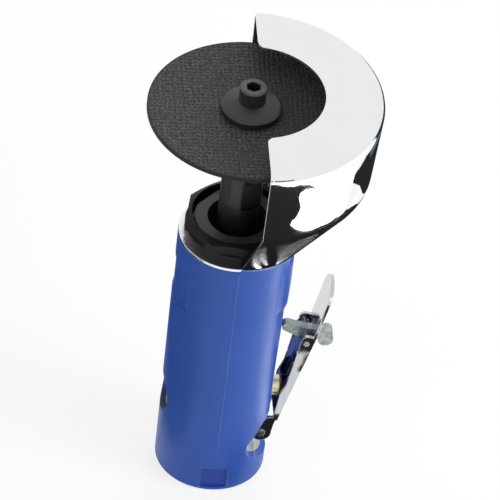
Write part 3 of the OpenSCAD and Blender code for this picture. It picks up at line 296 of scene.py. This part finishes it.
def place_camera():
    """Looks at the tool as the photograph does."""
    back = Vector((
        math.sin(CAMERA_AZIMUTH) * math.cos(CAMERA_ELEVATION),
        -math.cos(CAMERA_AZIMUTH) * math.cos(CAMERA_ELEVATION),
        math.sin(CAMERA_ELEVATION),
    ))
    level_right = Vector((math.cos(CAMERA_AZIMUTH), math.sin(CAMERA_AZIMUTH), 0.0))
    level_up = back.cross(level_right)
    right = math.cos(CAMERA_ROLL) * level_right + math.sin(CAMERA_ROLL) * level_up
    up = back.cross(right)
    data = bpy.data.cameras.new("camera")
    data.lens = CAMERA_LENS
    data.sensor_width = SENSOR_WIDTH
    data.clip_start = CLIP_NEAR
    data.clip_end = CLIP_FAR
    camera = put_in_scene("camera", data)
    turn = Matrix((right, up, back)).transposed().to_4x4()
    aim = CAMERA_TARGET + FRAME_RIGHT * right + FRAME_UP * up
    camera.matrix_world = Matrix.Translation(aim + CAMERA_DISTANCE * back) @ turn
    bpy.context.scene.camera = camera


class Tree:
    """A material's node tree, with short calls for the nodes that the finishes share."""

    def __init__(self, name):
        self.material = bpy.data.materials.new(name)
        self.material.use_nodes = True
        self.nodes = self.material.node_tree.nodes
        self.links = self.material.node_tree.links
        self.nodes.clear()
        self.shader = self.add("ShaderNodeBsdfPrincipled")
        out = self.add("ShaderNodeOutputMaterial")
        self.links.new(self.shader.outputs[0], out.inputs["Surface"])
        self.place = self.add("ShaderNodeTexCoord").outputs["Object"]

    def add(self, kind, **settings):
        node = self.nodes.new(kind)
        for key, value in settings.items():
            setattr(node, key, value)
        return node

    def put(self, socket, value):
        """Links a socket to another one, or sets its value."""
        if isinstance(value, bpy.types.NodeSocket):
            self.links.new(value, socket)
        elif isinstance(value, tuple) and len(value) == 3 and socket.type == "RGBA":
            socket.default_value = (*value, 1.0)
        else:
            socket.default_value = value

    def stretched(self, scale):
        """The surface's place, scaled along each axis."""
        node = self.add("ShaderNodeMapping")
        self.put(node.inputs["Vector"], self.place)
        node.inputs["Scale"].default_value = scale
        return node.outputs["Vector"]

    def noise(self, scale, detail=4.0, roughness=0.55, stretch=None):
        node = self.add("ShaderNodeTexNoise")
        self.put(node.inputs["Vector"], self.stretched(stretch) if stretch else self.place)
        node.inputs["Scale"].default_value = scale
        node.inputs["Detail"].default_value = detail
        node.inputs["Roughness"].default_value = roughness
        return node.outputs["Fac"]

    def speckle(self, scale):
        """A random value for each small cell."""
        cells = self.add("ShaderNodeTexVoronoi")
        self.put(cells.inputs["Vector"], self.place)
        cells.inputs["Scale"].default_value = scale
        colour = self.add("ShaderNodeSeparateColor")
        self.put(colour.inputs[0], cells.outputs["Color"])
        return colour.outputs[0]

    def wave(self, scale, direction, distortion):
        node = self.add("ShaderNodeTexWave", wave_type="BANDS", bands_direction=direction)
        self.put(node.inputs["Vector"], self.place)
        node.inputs["Scale"].default_value = scale
        node.inputs["Distortion"].default_value = distortion
        return node.outputs["Fac"]

    def spread(self, value, low, high, to_low=0.0, to_high=1.0):
        """Maps the range from low to high onto another one, and holds its ends outside."""
        node = self.add("ShaderNodeMapRange", clamp=True)
        self.put(node.inputs["Value"], value)
        node.inputs["From Min"].default_value = low
        node.inputs["From Max"].default_value = high
        node.inputs["To Min"].default_value = to_low
        node.inputs["To Max"].default_value = to_high
        return node.outputs["Result"]

    def between(self, value, low, high, fade):
        """1 between low and high, fading to 0 at both ends."""
        return self.product(self.spread(value, low, low + fade), self.spread(value, high, high - fade))

    def calc(self, operation, first, second=0.0):
        node = self.add("ShaderNodeMath", operation=operation)
        self.put(node.inputs[0], first)
        self.put(node.inputs[1], second)
        return node.outputs[0]

    def product(self, first, *others):
        for other in others:
            first = self.calc("MULTIPLY", first, other)
        return first

    def axes(self, vector=None):
        """X, y and z of a vector, or else of the surface's place."""
        node = self.add("ShaderNodeSeparateXYZ")
        self.put(node.inputs[0], vector or self.place)
        return node.outputs

    def radius(self):
        """Distance from the motor axis."""
        axes = self.axes()
        squares = [self.product(axes[name], axes[name]) for name in ("X", "Y")]
        return self.calc("SQRT", self.calc("ADD", *squares))

    def angle(self):
        """Angle round the motor axis."""
        axes = self.axes()
        return self.calc("ARCTAN2", axes["Y"], axes["X"])

    def mix(self, share, first, second):
        """The first colour at share 0, the second at 1."""
        node = self.add("ShaderNodeMix", data_type="RGBA")
        colours = [socket for socket in node.inputs if socket.type == "RGBA"]
        self.put(node.inputs["Factor"], share)
        self.put(colours[0], first)
        self.put(colours[1], second)
        return next(socket for socket in node.outputs if socket.type == "RGBA")

    def bump(self, height, distance, strength, normal=None):
        node = self.add("ShaderNodeBump")
        self.put(node.inputs["Height"], height)
        node.inputs["Distance"].default_value = distance
        node.inputs["Strength"].default_value = strength
        if normal is not None:
            self.put(node.inputs["Normal"], normal)
        return node.outputs["Normal"]

    def soft_edge(self, radius=SOFT_EDGE):
        """Normal of a surface whose edges are rounded to that radius."""
        node = self.add("ShaderNodeBevel", samples=SOFT_EDGE_SAMPLES)
        node.inputs["Radius"].default_value = radius
        return node.outputs["Normal"]

    def edge_wear_and_highlight(self, radius):
        """High where the surface turns sharply, from 0 on a flat to 1 on an edge."""
        straight = self.add("ShaderNodeNewGeometry").outputs["Normal"]
        dot = self.add("ShaderNodeVectorMath", operation="DOT_PRODUCT")
        self.put(dot.inputs[0], self.soft_edge(radius))
        self.put(dot.inputs[1], straight)
        return self.spread(dot.outputs["Value"], EDGE_PALE_START, EDGE_PALE_FULL)

    def finish(self, colour, roughness, normal, metallic=0.0, sheen=0.5):
        self.put(self.shader.inputs["Base Color"], colour)
        self.put(self.shader.inputs["Roughness"], roughness)
        self.put(self.shader.inputs["Normal"], normal)
        self.shader.inputs["Metallic"].default_value = metallic
        self.shader.inputs["Specular IOR Level"].default_value = sheen
        return self.material


def recess_shade_mask(tree):
    """High on the floor of the square recess, where shade is painted, found by its depth under the grip's
    surface.
    """
    x, y, z = tree.axes()
    depth = tree.calc("SUBTRACT", REAR_R, tree.radius())
    deep = tree.between(depth, RECESS_SHALLOW, RECESS_DEEP, RECESS_FADE)
    wide = tree.between(x, -RECESS_HALF, RECESS_HALF, RECESS_FADE)
    tall = tree.product(tree.spread(z, *RECESS_FOOT), tree.spread(z, *RECESS_HEAD))
    front = tree.calc("LESS_THAN", y, 0.0)
    return tree.product(deep, wide, tall, front)


def dish_mask(tree):
    """High in the dished opening round the regulator, well under the grip's surface."""
    axes = tree.axes()
    low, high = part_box("air_regulator")
    middle = (low.z + high.z) / 2
    depth = tree.calc("SUBTRACT", REAR_R, tree.radius())
    deep = tree.spread(depth, 0.0, DISH_DEEP)
    beside = tree.spread(axes["X"], *DISH_SIDE)
    tall = tree.between(axes["Z"], middle - DISH_REACH, middle + DISH_REACH, DISH_FADE)
    return tree.product(deep, beside, tall)


def panel_edge_highlight(tree):
    """High along the near edge of the bare panel on the grip's left, where a highlight is painted."""
    line = tree.between(tree.angle(), PANEL_EDGE - PANEL_LINE, PANEL_EDGE + PANEL_LINE, PANEL_LINE / 2)
    depth = tree.calc("SUBTRACT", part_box("grip_sleeve")[1].z, tree.axes()["Z"])
    return tree.product(line, tree.between(depth, PANEL_HIGH, PANEL_LOW, PANEL_FADE))


def moulded_blue(name, colour, deep):
    """Moulded grip: two blues, fine grain, dull scuffs; painted shade in the recess, painted highlights on
    edges.
    """
    tree = Tree(name)
    tone = tree.spread(tree.noise(38.0, detail=3.0), 0.35, 0.70)
    grain = tree.noise(2600.0, detail=2.0)
    scuffs = tree.noise(160.0, detail=6.0, roughness=0.7, stretch=(1.0, 1.0, 0.35))
    rough = tree.spread(scuffs, 0.35, 0.75, to_low=0.36, to_high=0.46)
    normal = tree.bump(grain, distance=0.00004, strength=0.35, normal=tree.soft_edge(0.0004))
    # Painted shade on the recess floor
    paint = tree.mix(recess_shade_mask(tree), tree.mix(tone, colour, deep), BLUE_RECESS_SHADE)
    # Painted highlight on the grip's edges and along the panel's near edge
    wear_and_highlight = tree.calc("MAXIMUM", tree.edge_wear_and_highlight(0.0005), panel_edge_highlight(tree))
    paint = tree.mix(tree.product(wear_and_highlight, BLUE_HIGHLIGHT_SHARE), paint, BLUE_HIGHLIGHT)
    paint = tree.mix(dish_mask(tree), paint, DISH_SHADE)
    return tree.finish(paint, rough, normal, sheen=0.36)


def chrome_sheet():
    """Chromed sheet: a little uneven from the press, faintly smeared and with a rougher cone."""
    tree = Tree("chrome_sheet")
    pressed = tree.noise(26.0, detail=2.0, roughness=0.45)
    ripple = tree.noise(95.0, detail=3.0, roughness=0.5)
    smear = tree.noise(70.0, detail=5.0, roughness=0.65, stretch=(1.0, 1.0, 2.2))
    fold_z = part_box("wheel_guard")[0].z + GUARD_FOLD_H
    cone = tree.spread(tree.axes()["Z"], fold_z, fold_z - GUARD_FOLD_ROUND)
    cone_skin = tree.product(cone, tree.noise(420.0, detail=4.0, roughness=0.7))
    normal = tree.bump(pressed, distance=0.0022, strength=0.30, normal=tree.soft_edge())
    normal = tree.bump(ripple, distance=0.00012, strength=0.30, normal=normal)
    normal = tree.bump(cone_skin, distance=0.0005, strength=0.5, normal=normal)
    rough = tree.spread(smear, 0.45, 0.80, to_low=0.03, to_high=0.09)
    tint = tree.mix(tree.spread(smear, 0.40, 0.85), CHROME, CHROME_DULL)
    return tree.finish(tint, rough, normal, metallic=1.0)


def channel_reflection_mask(tree):
    """High inside the lever's channel below the latch, where a reflection of the blue grip is painted."""
    axes = tree.axes()
    facing = tree.axes(tree.add("ShaderNodeNewGeometry").outputs["True Normal"])
    low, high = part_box("safety_latch")
    inside = tree.between(axes["Y"], -CHANNEL_HALF, CHANNEL_HALF, CHANNEL_FADE)
    below = tree.spread(axes["Z"], high.z, low.z)
    inward = tree.spread(facing["X"], *CHANNEL_FACING)
    return tree.product(inside, below, inward)


def polished_lever():
    """Bent steel strip, drawn lengthwise and polished, with a painted reflection of the blue grip in its
    channel.
    """
    tree = Tree("polished_lever")
    drawn = tree.noise(900.0, detail=4.0, roughness=0.6, stretch=(1.0, 1.0, 0.05))
    waves = tree.noise(60.0, detail=2.0)
    normal = tree.bump(drawn, distance=0.00002, strength=0.5, normal=tree.soft_edge())
    normal = tree.bump(waves, distance=0.0004, strength=0.2, normal=normal)
    rough = tree.spread(drawn, 0.30, 0.75, to_low=0.03, to_high=0.08)
    tint = tree.mix(tree.spread(drawn, 0.35, 0.8), STEEL, STEEL_DRAWN)
    # Painted reflection of the blue grip inside the channel
    tint = tree.mix(channel_reflection_mask(tree), tint, CHANNEL_REFLECTION_BLUE)
    return tree.finish(tint, rough, normal, metallic=1.0)


def plated_zinc():
    """Dull plating in light and dark patches, finely pitted."""
    tree = Tree("plated_zinc")
    mottle = tree.noise(420.0, detail=6.0, roughness=0.7)
    pits = tree.noise(1500.0, detail=3.0)
    normal = tree.bump(pits, distance=0.00006, strength=0.6, normal=tree.soft_edge())
    rough = tree.spread(mottle, 0.3, 0.75, to_low=0.34, to_high=0.55)
    colour = tree.mix(tree.spread(mottle, 0.36, 0.68), ZINC_DARK, ZINC_LIGHT)
    return tree.finish(colour, rough, normal, metallic=0.75)


def worn_metal(name, colour, wear_and_highlight, rough_range, metallic=0.25, edge=0.0004, sheen=0.5):
    """Machined metal, dark or bright: fine mottling, small scratches, edges paler from wear and painted
    highlight.
    """
    tree = Tree(name)
    mottle = tree.noise(300.0, detail=6.0, roughness=0.7)
    scratches = tree.noise(700.0, detail=4.0, roughness=0.6, stretch=(1.0, 0.25, 1.6))
    # Paler edges: partly real wear, partly a painted highlight along them
    edge_wear_and_glint = tree.product(tree.edge_wear_and_highlight(edge), tree.spread(mottle, 0.30, 0.60))
    share = tree.calc("MAXIMUM", edge_wear_and_glint, tree.spread(mottle, 0.45, 0.95, to_high=0.6))
    normal = tree.bump(scratches, distance=0.00003, strength=0.45, normal=tree.soft_edge(edge))
    rough = tree.spread(mottle, 0.3, 0.75, *rough_range)
    return tree.finish(tree.mix(share, colour, wear_and_highlight), rough, normal, metallic, sheen)


def knurled_head():
    """Head of the disc screw: straight ribs round its side, a paler top."""
    tree = Tree("knurled_head")
    top_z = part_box("disc_screw")[1].z - KNURL_TOP
    side = tree.spread(tree.axes()["Z"], top_z, top_z - KNURL_FADE)
    ribs = tree.calc("SINE", tree.product(tree.angle(), KNURL_RIBS))
    normal = tree.bump(tree.product(ribs, side), distance=0.00012, strength=0.8, normal=tree.soft_edge())
    mottle = tree.noise(500.0, detail=5.0, roughness=0.7)
    share = tree.spread(mottle, 0.35, 0.75)
    top = tree.mix(share, TOP_STEEL, DARK_STEEL_WORN)
    colour = tree.mix(share, DARK_STEEL, DARK_STEEL_WORN)
    rough = tree.spread(mottle, 0.3, 0.7, to_low=0.36, to_high=0.54)
    return tree.finish(tree.mix(side, top, colour), rough, normal, metallic=0.25)


def rim_painted_shade(tree):
    """1 on the disc's face, falling to 0 at its rim, where shade is painted."""
    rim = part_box("cutting_disc")[1].y - RIM_DARK
    return tree.spread(tree.radius(), rim, rim - RIM_FADE)


def woven_abrasive():
    """Resin-bonded grit: pale specks, with the mesh of the reinforcing cloth showing as rows of dimples."""
    tree = Tree("woven_abrasive")
    weave = tree.product(*(tree.wave(175.0, direction, distortion=2.5) for direction in ("X", "Y")))
    clumps = tree.noise(1500.0, detail=5.0, roughness=0.7)
    share = tree.product(
        tree.spread(tree.speckle(3000.0), 0.1, 1.0),
        tree.spread(clumps, 0.30, 0.70),
        tree.spread(weave, 0.15, 0.75, to_low=1.0, to_high=0.5),
        # Painted shade along the disc's rim
        rim_painted_shade(tree),
    )
    grit = tree.noise(1100.0, detail=3.0, roughness=0.6)
    normal = tree.bump(weave, distance=0.0005, strength=0.6)
    normal = tree.bump(grit, distance=0.0005, strength=0.8, normal=normal)
    rough = tree.spread(clumps, 0.3, 0.7, to_low=0.44, to_high=0.62)
    return tree.finish(tree.mix(share, GRIT_DARK, GRIT_LIGHT), rough, normal, sheen=0.28)


def cast_alloy():
    """Cast metal: a fine rough skin in lighter and duller patches."""
    tree = Tree("cast_alloy")
    skin = tree.noise(900.0, detail=5.0, roughness=0.7)
    patches = tree.noise(180.0, detail=4.0)
    normal = tree.bump(skin, distance=0.0001, strength=0.5, normal=tree.soft_edge())
    rough = tree.spread(patches, 0.3, 0.7, to_low=0.32, to_high=0.52)
    colour = tree.mix(tree.spread(patches, 0.35, 0.7), ALLOY, ALLOY_DULL)
    return tree.finish(colour, rough, normal, metallic=1.0)


def turned_brass():
    """Turned metal: fine rings and a light tarnish."""
    tree = Tree("turned_brass")
    rings = tree.wave(1400.0, "X", distortion=1.5)
    tarnish = tree.noise(380.0, detail=5.0, roughness=0.65)
    normal = tree.bump(rings, distance=0.00002, strength=0.5, normal=tree.soft_edge())
    rough = tree.spread(tarnish, 0.3, 0.75, to_low=0.14, to_high=0.28)
    colour = tree.mix(tree.spread(tarnish, 0.45, 0.8), BRASS, BRASS_DULL)
    return tree.finish(colour, rough, normal, metallic=0.7)


def mottled(name, colour, other, scale, rough_range, relief, stretch=None):
    """Plain moulded, cut or felted material: two tones, uneven sheen and a fine relief."""
    tree = Tree(name)
    patches = tree.noise(scale, detail=6.0, roughness=0.7, stretch=stretch)
    grain = tree.noise(GRAIN_RATIO * scale, detail=2.0, roughness=0.5, stretch=stretch)
    rough = tree.spread(patches, 0.3, 0.7, *rough_range)
    normal = tree.bump(grain, distance=relief, strength=0.6)
    return tree.finish(tree.mix(tree.spread(patches, 0.3, 0.7), colour, other), rough, normal)


def make_finishes():
    """One procedural material for each material slot of the record."""
    return {
        "sleeve_blue": moulded_blue("moulded_blue", BLUE, BLUE_DEEP),
        "guard_chrome": chrome_sheet(),
        "lever_steel": polished_lever(),
        "latch_zinc": plated_zinc(),
        "black_steel": worn_metal("black_steel", BLACK, BLACK_WORN, (0.34, 0.50), sheen=0.2),
        "dark_steel": worn_metal("dark_steel", DARK_STEEL, DARK_STEEL_WORN, (0.42, 0.58)),
        "grey_steel": worn_metal("grey_steel", GREY, GREY_WORN, (0.38, 0.55), metallic=0.6),
        "bright_steel": worn_metal(
            "bright_steel", STEEL_DULL, STEEL, (0.20, 0.36), metallic=1.0, edge=0.0002,
        ),
        "abrasive": woven_abrasive(),
        "cast_alloy": cast_alloy(),
        "brass": turned_brass(),
        "rubber": mottled("rubber", RUBBER, RUBBER_GREY, 600.0, (0.55, 0.80), 0.00004),
        "felt": mottled("felt", FELT, FELT_DARK, 700.0, (0.85, 1.0), 0.00020),
        "gasket": mottled("gasket", GASKET, GASKET_DARK, 500.0, (0.6, 0.8), 0.00004),
        "vane": mottled("vane", PHENOLIC, PHENOLIC_DARK, 240.0, (0.45, 0.65), 0.00003, (1.0, 1.0, 0.15)),
        "seat": mottled("seat", ACETAL, ACETAL_DULL, 300.0, (0.35, 0.5), 0.00002),
        "deflector": mottled("deflector", BLACK, BLACK_WORN, 400.0, (0.45, 0.62), 0.00004),
    }


def dress_nodes(finishes):
    """Gives every node its slot's material, and three of them a material of their own."""
    own = {
        "disc_screw": knurled_head(),
        "outer_flange": worn_metal("flange", DARK_STEEL, DARK_STEEL_WORN, (0.34, 0.46), sheen=0.75),
        "arbor": worn_metal("arbor_steel", BLACK, BLACK_WORN, (0.26, 0.40), sheen=0.7),
    }
    for subpart in record["subparts"]:
        node = nodes[subpart["node"]]
        for slot in node.material_slots:
            slot.material = own.get(subpart["node"], finishes[subpart["material_slot"]])


def put_in_scene(name, data):
    """A new object with that data."""
    thing = bpy.data.objects.new(name, data)
    bpy.context.scene.collection.objects.link(thing)
    return thing


def mesh_from(name, shape):
    """Turns a bmesh into a mesh."""
    mesh = bpy.data.meshes.new(name)
    shape.to_mesh(mesh)
    shape.free()
    return mesh


def new_piece(name, shape, body, material):
    """Turns a bmesh into a piece that rides on a body."""
    bmesh.ops.recalc_face_normals(shape, faces=shape.faces)
    mesh = mesh_from(name, shape)
    mesh.shade_smooth()
    mesh.materials.append(material)
    piece = put_in_scene(name, mesh)
    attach(piece, body)
    return piece


def polar(reach, angle):
    """Point at that distance and angle from the origin."""
    return Vector((reach * math.cos(angle), reach * math.sin(angle)))


def round_corner(before, corner, after, radius, steps):
    """Points of an arc of that radius that touches both sides of a corner."""
    back = (before - corner).normalized()
    ahead = (after - corner).normalized()
    half = back.angle(ahead) / 2
    centre = corner + (back + ahead).normalized() * radius / math.sin(half)
    start = corner + back * radius / math.tan(half) - centre
    end = corner + ahead * radius / math.tan(half) - centre
    return [centre + radius * start.slerp(end, i / steps).normalized() for i in range(steps + 1)]


def guard_stations(inset, rim_r, height):
    """The wall's section from the collar to the top plate, as radius and height, set in by the sheet."""
    collar = Vector((GUARD_COLLAR_R, 0.0))
    fold = Vector((GUARD_FOLD_R, GUARD_FOLD_H))
    rim = Vector((rim_r, height - GUARD_RIM_ROUND))
    cone_out = Vector(((fold - collar).y, -(fold - collar).x)).normalized()
    wall_out = Vector(((rim - fold).y, -(rim - fold).x)).normalized()
    mitre = (cone_out + wall_out) / (1.0 + cone_out.dot(wall_out))
    start = collar - inset * cone_out
    slope = (fold - collar).x / (fold - collar).y
    foot = Vector((start.x + (inset - start.y) * slope, inset))
    arc_centre = Vector((rim_r - GUARD_RIM_ROUND, height - GUARD_RIM_ROUND))
    edge_r = GUARD_RIM_ROUND - inset
    edge = arc_centre + Vector((edge_r, 0.0))
    turns = [math.pi / 2 * i / GUARD_STEPS_ARC for i in range(GUARD_STEPS_ARC + 1)]
    arc = [arc_centre + polar(edge_r, turn) for turn in turns]
    bend = round_corner(foot, fold - inset * mitre, edge, GUARD_FOLD_ROUND - inset, GUARD_STEPS_ARC)
    return [foot, foot.lerp(bend[0], 0.5), *bend, bend[-1].lerp(arc[0], 0.5), *arc]


def window_edge(share):
    """Point on the top plate's inner edge, from one cut edge at -1 to the other at 1."""
    side = math.copysign(1.0, share)
    centre = Vector((GUARD_CUT + GUARD_CORNER_R, 0.0))
    reach = GUARD_WINDOW_R + GUARD_CORNER_R
    centre.y = math.sqrt(reach**2 - (centre.x - GUARD_WINDOW_X) ** 2)
    touch = math.atan2(centre.y, centre.x - GUARD_WINDOW_X)
    if abs(share) <= GUARD_CORNER_SHARE:
        turn = touch * abs(share) / GUARD_CORNER_SHARE
        point = Vector((GUARD_WINDOW_X, 0.0)) + polar(GUARD_WINDOW_R, turn)
    else:
        turn = math.pi + touch * (1.0 - abs(share)) / (1.0 - GUARD_CORNER_SHARE)
        point = centre + polar(GUARD_CORNER_R, turn)
    return Vector((point.x, side * point.y))


def guard_shares():
    """Places along the guard from one cut edge to the other, closer together in the window's corners."""
    long = [i / GUARD_STEPS_ALONG for i in range(GUARD_STEPS_ALONG + 1)]
    short = [i / GUARD_STEPS_CORNER for i in range(1, GUARD_STEPS_CORNER + 1)]
    middle = [GUARD_CORNER_SHARE * (2.0 * i - 1.0) for i in long]
    end = [GUARD_CORNER_SHARE + (1.0 - GUARD_CORNER_SHARE) * i for i in short]
    return [-e for e in reversed(end)] + middle + end


def guard_skin(shape, inset, base_z, rim_r, height, shares):
    """One side of the sheet as rows of vertices, from the collar to the window's edge."""
    rows = []
    for station in guard_stations(inset, rim_r, height):
        lean = GUARD_LEAN * max(0.0, 1.0 - station.y / GUARD_FOLD_H)
        half = math.acos((GUARD_CUT - lean - GUARD_SHIFT) / station.x)
        row = []
        for share in shares:
            x, y = polar(station.x, half * share)
            row.append(shape.verts.new((GUARD_SHIFT + x, y, base_z + station.y)))
        rows.append(row)
    rim = [v.co.copy() for v in rows[-1]]
    for i in range(1, GUARD_STEPS_PLATE + 1):
        row = []
        for share, start in zip(shares, rim):
            place = start.xy.lerp(window_edge(share), i / GUARD_STEPS_PLATE)
            row.append(shape.verts.new((*place, start.z)))
        rows.append(row)
    return rows


def stitch(shape, first, second, closed=False):
    """Faces between two rows of vertices."""
    count = len(first)
    for i in range(count if closed else count - 1):
        j = (i + 1) % count
        shape.faces.new((first[i], first[j], second[j], second[i]))


def guard_collar(shape, base_z):
    """Flat ring under the clamp nut."""
    corners = (
        (GUARD_COLLAR_BORE_R, 0.0),
        (GUARD_COLLAR_R, 0.0),
        (GUARD_COLLAR_R, GUARD_SHEET),
        (GUARD_COLLAR_BORE_R, GUARD_SHEET),
    )
    steps = 2 * GUARD_STEPS_ALONG
    turns = [2.0 * math.pi * i / steps for i in range(steps)]
    rows = []
    for reach, z in corners:
        rows.append([shape.verts.new((*polar(reach, turn), base_z + z)) for turn in turns])
    for row, following in zip(rows, rows[1:] + rows[:1]):
        stitch(shape, row, following, closed=True)


def make_guard(finishes):
    """Pressed guard with even curvature at its fold and rim, so that its chrome reflects cleanly."""
    low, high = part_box("wheel_guard")
    rim_r = high.x - GUARD_SHIFT
    height = high.z - low.z
    shape = bmesh.new()
    shares = guard_shares()
    outer = guard_skin(shape, 0.0, low.z, rim_r, height, shares)
    inner = guard_skin(shape, GUARD_SHEET, low.z, rim_r, height, shares)
    for skin in (outer, inner):
        for row, following in zip(skin, skin[1:]):
            stitch(shape, row, following)
    stitch(shape, outer[0], inner[0])
    stitch(shape, outer[-1], inner[-1])
    for side in (0, -1):
        stitch(shape, [row[side] for row in outer], [row[side] for row in inner])
    guard_collar(shape, low.z)
    guard = new_piece("guard_shell", shape, "guard", finishes["guard_chrome"])
    edge = guard.modifiers.new("edge", "BEVEL")
    edge.width = GUARD_EDGE_ROUND
    edge.segments = GUARD_EDGE_STEPS
    edge.limit_method = "ANGLE"
    edge.angle_limit = GUARD_EDGE_ANGLE
    edge.harden_normals = True
    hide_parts("wheel_guard")


def seam_row(shape, side, reach, z):
    """The ridge's section at one height."""
    row = []
    for across, lift in SEAM_PROFILE:
        angle = side + across * SEAM_WIDTH / 2 / reach
        row.append(shape.verts.new((*polar(reach + lift * SEAM_HEIGHT, angle), z)))
    return row


def make_seams():
    """Low ridge down both sides of the sleeve, where its mould parted."""
    # The seam's ridge is painted paler than the sleeve, as a highlight along it
    pale = moulded_blue("parting_line", BLUE_HIGHLIGHT, BLUE)
    low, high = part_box("grip_sleeve")
    front_r = (high.y - low.y) / 2
    length = high.z - SEAM_TOP_GAP - SEAM_BOTTOM
    for name, side in SEAMS:
        shape = bmesh.new()
        rows = []
        for i in range(SEAM_STEPS + 1):
            z = SEAM_BOTTOM + length * i / SEAM_STEPS
            rows.append(seam_row(shape, side, REAR_R + (front_r - REAR_R) * z / high.z, z))
        for row, following in zip(rows, rows[1:]):
            stitch(shape, row, following, closed=True)
        shape.faces.new(rows[0])
        shape.faces.new(rows[-1])
        new_piece(name, shape, "housing", pale)


def maximum(tree, *values):
    """The largest of several sockets."""
    largest = values[0]
    for value in values[1:]:
        node = tree.nodes.new("ShaderNodeMath")
        node.operation = "MAXIMUM"
        tree.links.new(largest, node.inputs[0])
        tree.links.new(value, node.inputs[1])
        largest = node.outputs[0]
    return largest


def mix_shaders(tree, share, first, second, out):
    """Sends two shaders to the output: the first at share 0, the second at 1."""
    mix = tree.nodes.new("ShaderNodeMixShader")
    for value, socket in zip((share, first, second), mix.inputs):
        tree.links.new(value, socket)
    tree.links.new(mix.outputs[0], out.inputs["Surface"])


def make_world():
    """Even light all round, and white where the camera or a reflection sees past the floor."""
    world = bpy.data.worlds.new("studio")
    world.use_nodes = True
    tree = world.node_tree
    tree.nodes.clear()
    path = tree.nodes.new("ShaderNodeLightPath").outputs
    seen = maximum(tree, path["Is Camera Ray"], path["Is Glossy Ray"], path["Is Transmission Ray"])
    skies = []
    for strength in (AMBIENT, SKY_WHITE):
        sky = tree.nodes.new("ShaderNodeBackground")
        sky.inputs["Color"].default_value = WHITE
        sky.inputs["Strength"].default_value = strength
        skies.append(sky.outputs[0])
    mix_shaders(tree, seen, *skies, tree.nodes.new("ShaderNodeOutputWorld"))
    bpy.context.scene.world = world


def floor_finish():
    """Pale paint, partly white by itself to the camera and to reflections, so that shadows stay faint."""
    material = bpy.data.materials.new("floor")
    material.use_nodes = True
    tree = material.node_tree
    tree.nodes.clear()
    paint = tree.nodes.new("ShaderNodeBsdfDiffuse")
    paint.inputs["Color"].default_value = (*FLOOR_COLOUR, 1.0)
    white = tree.nodes.new("ShaderNodeEmission")
    white.inputs["Color"].default_value = WHITE
    path = tree.nodes.new("ShaderNodeLightPath").outputs
    share = tree.nodes.new("ShaderNodeMath")
    share.operation = "MULTIPLY"
    share.inputs[1].default_value = FLOOR_WHITE_SHARE
    tree.links.new(maximum(tree, path["Is Camera Ray"], path["Is Glossy Ray"]), share.inputs[0])
    out = tree.nodes.new("ShaderNodeOutputMaterial")
    mix_shaders(tree, share.outputs[0], paint.outputs[0], white.outputs[0], out)
    return material


def make_floor():
    shape = bmesh.new()
    bmesh.ops.create_circle(shape, cap_ends=True, segments=FLOOR_SIDES, radius=FLOOR_RADIUS)
    mesh = mesh_from("floor", shape)
    mesh.materials.append(floor_finish())
    floor = put_in_scene("floor", mesh)
    floor.location.z = cad_low.z - FLOOR_DROP


def light_studio():
    """Round lamps that aim at the tool and don't show in its reflections."""
    for name, place, size, watts in LAMPS:
        data = bpy.data.lights.new(name, "AREA")
        data.shape = "DISK"
        data.size = size
        data.energy = watts
        lamp = put_in_scene(name, data)
        lamp.location = place
        lamp.rotation_mode = "QUATERNION"
        lamp.rotation_quaternion = (LAMP_AIM - Vector(place)).to_track_quat("-Z", "Y")
        lamp.visible_glossy = False


def clear_from_behind(material):
    """Lets rays through that meet a card's back."""
    tree = material.node_tree
    side = tree.nodes.new("ShaderNodeNewGeometry").outputs["Backfacing"]
    front = tree.nodes["Principled BSDF"].outputs[0]
    clear = tree.nodes.new("ShaderNodeBsdfTransparent").outputs[0]
    mix_shaders(tree, side, front, clear, tree.nodes["Material Output"])


def card_finish(name, colour):
    material = bpy.data.materials.new(name)
    material.use_nodes = True
    shader = material.node_tree.nodes["Principled BSDF"]
    shader.inputs["Base Color"].default_value = (*colour, 1.0)
    shader.inputs["Roughness"].default_value = CARD_ROUGHNESS
    shader.inputs["Emission Color"].default_value = (*colour, 1.0)
    shader.inputs["Emission Strength"].default_value = CARD_GLOW.get(colour, 0.0)
    return material


def card(name, corners, colour, flag=False):
    """Shape facing the tool that only reflections see, for the metal's bands; a flag only casts shade."""
    shape = bmesh.new()
    face = shape.faces.new([shape.verts.new(corner) for corner in corners])
    face.normal_update()
    if face.normal.dot(face.calc_center_median() - CARD_AIM) > 0.0:
        face.normal_flip()
    mesh = mesh_from(name, shape)
    material = card_finish(name, colour)
    if not flag:
        clear_from_behind(material)
    mesh.materials.append(material)
    piece = put_in_scene(name, mesh)
    piece.visible_camera = False
    piece.visible_transmission = False
    piece.visible_glossy = not flag
    piece.visible_diffuse = flag
    piece.visible_shadow = flag


def place_cards():
    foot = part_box("wheel_guard")[0].z
    for cards, level in ((FLOOR_CARDS, cad_low.z), (GUARD_CARDS, foot + GUARD_CARD_RISE)):
        for i, (name, colour, outline) in enumerate(cards):
            card(name, [(x, y, level + CARD_LIFT * (i + 1)) for x, y in outline], colour)
    for name, near, far in HORIZON_CARDS:
        card(name, [(*near, 0.0), (*far, 0.0), (*far, HORIZON_H), (*near, HORIZON_H)], CARD_BLACK)
    (x0, z0), (x1, z1) = TIP_PANEL_LOW, TIP_PANEL_HIGH
    card("panel_tip", [(x, TIP_PANEL_Y, z) for x, z in ((x0, z0), (x1, z0), (x1, z1), (x0, z1))], CARD_WHITE)
    (x0, y0), (x1, y1) = FLAG_LOW, FLAG_HIGH
    corners = [(x, y, FLAG_Z) for x, y in ((x0, y0), (x1, y0), (x1, y1), (x0, y1))]
    card("flag", corners, CARD_BLACK, flag=True)


def main():
    scene = bpy.context.scene
    scene.view_settings.view_transform = "Standard"
    place_camera()
    make_world()
    make_floor()
    light_studio()
    place_cards()
    finishes = make_finishes()
    dress_nodes(finishes)
    make_guard(finishes)
    make_seams()


main()
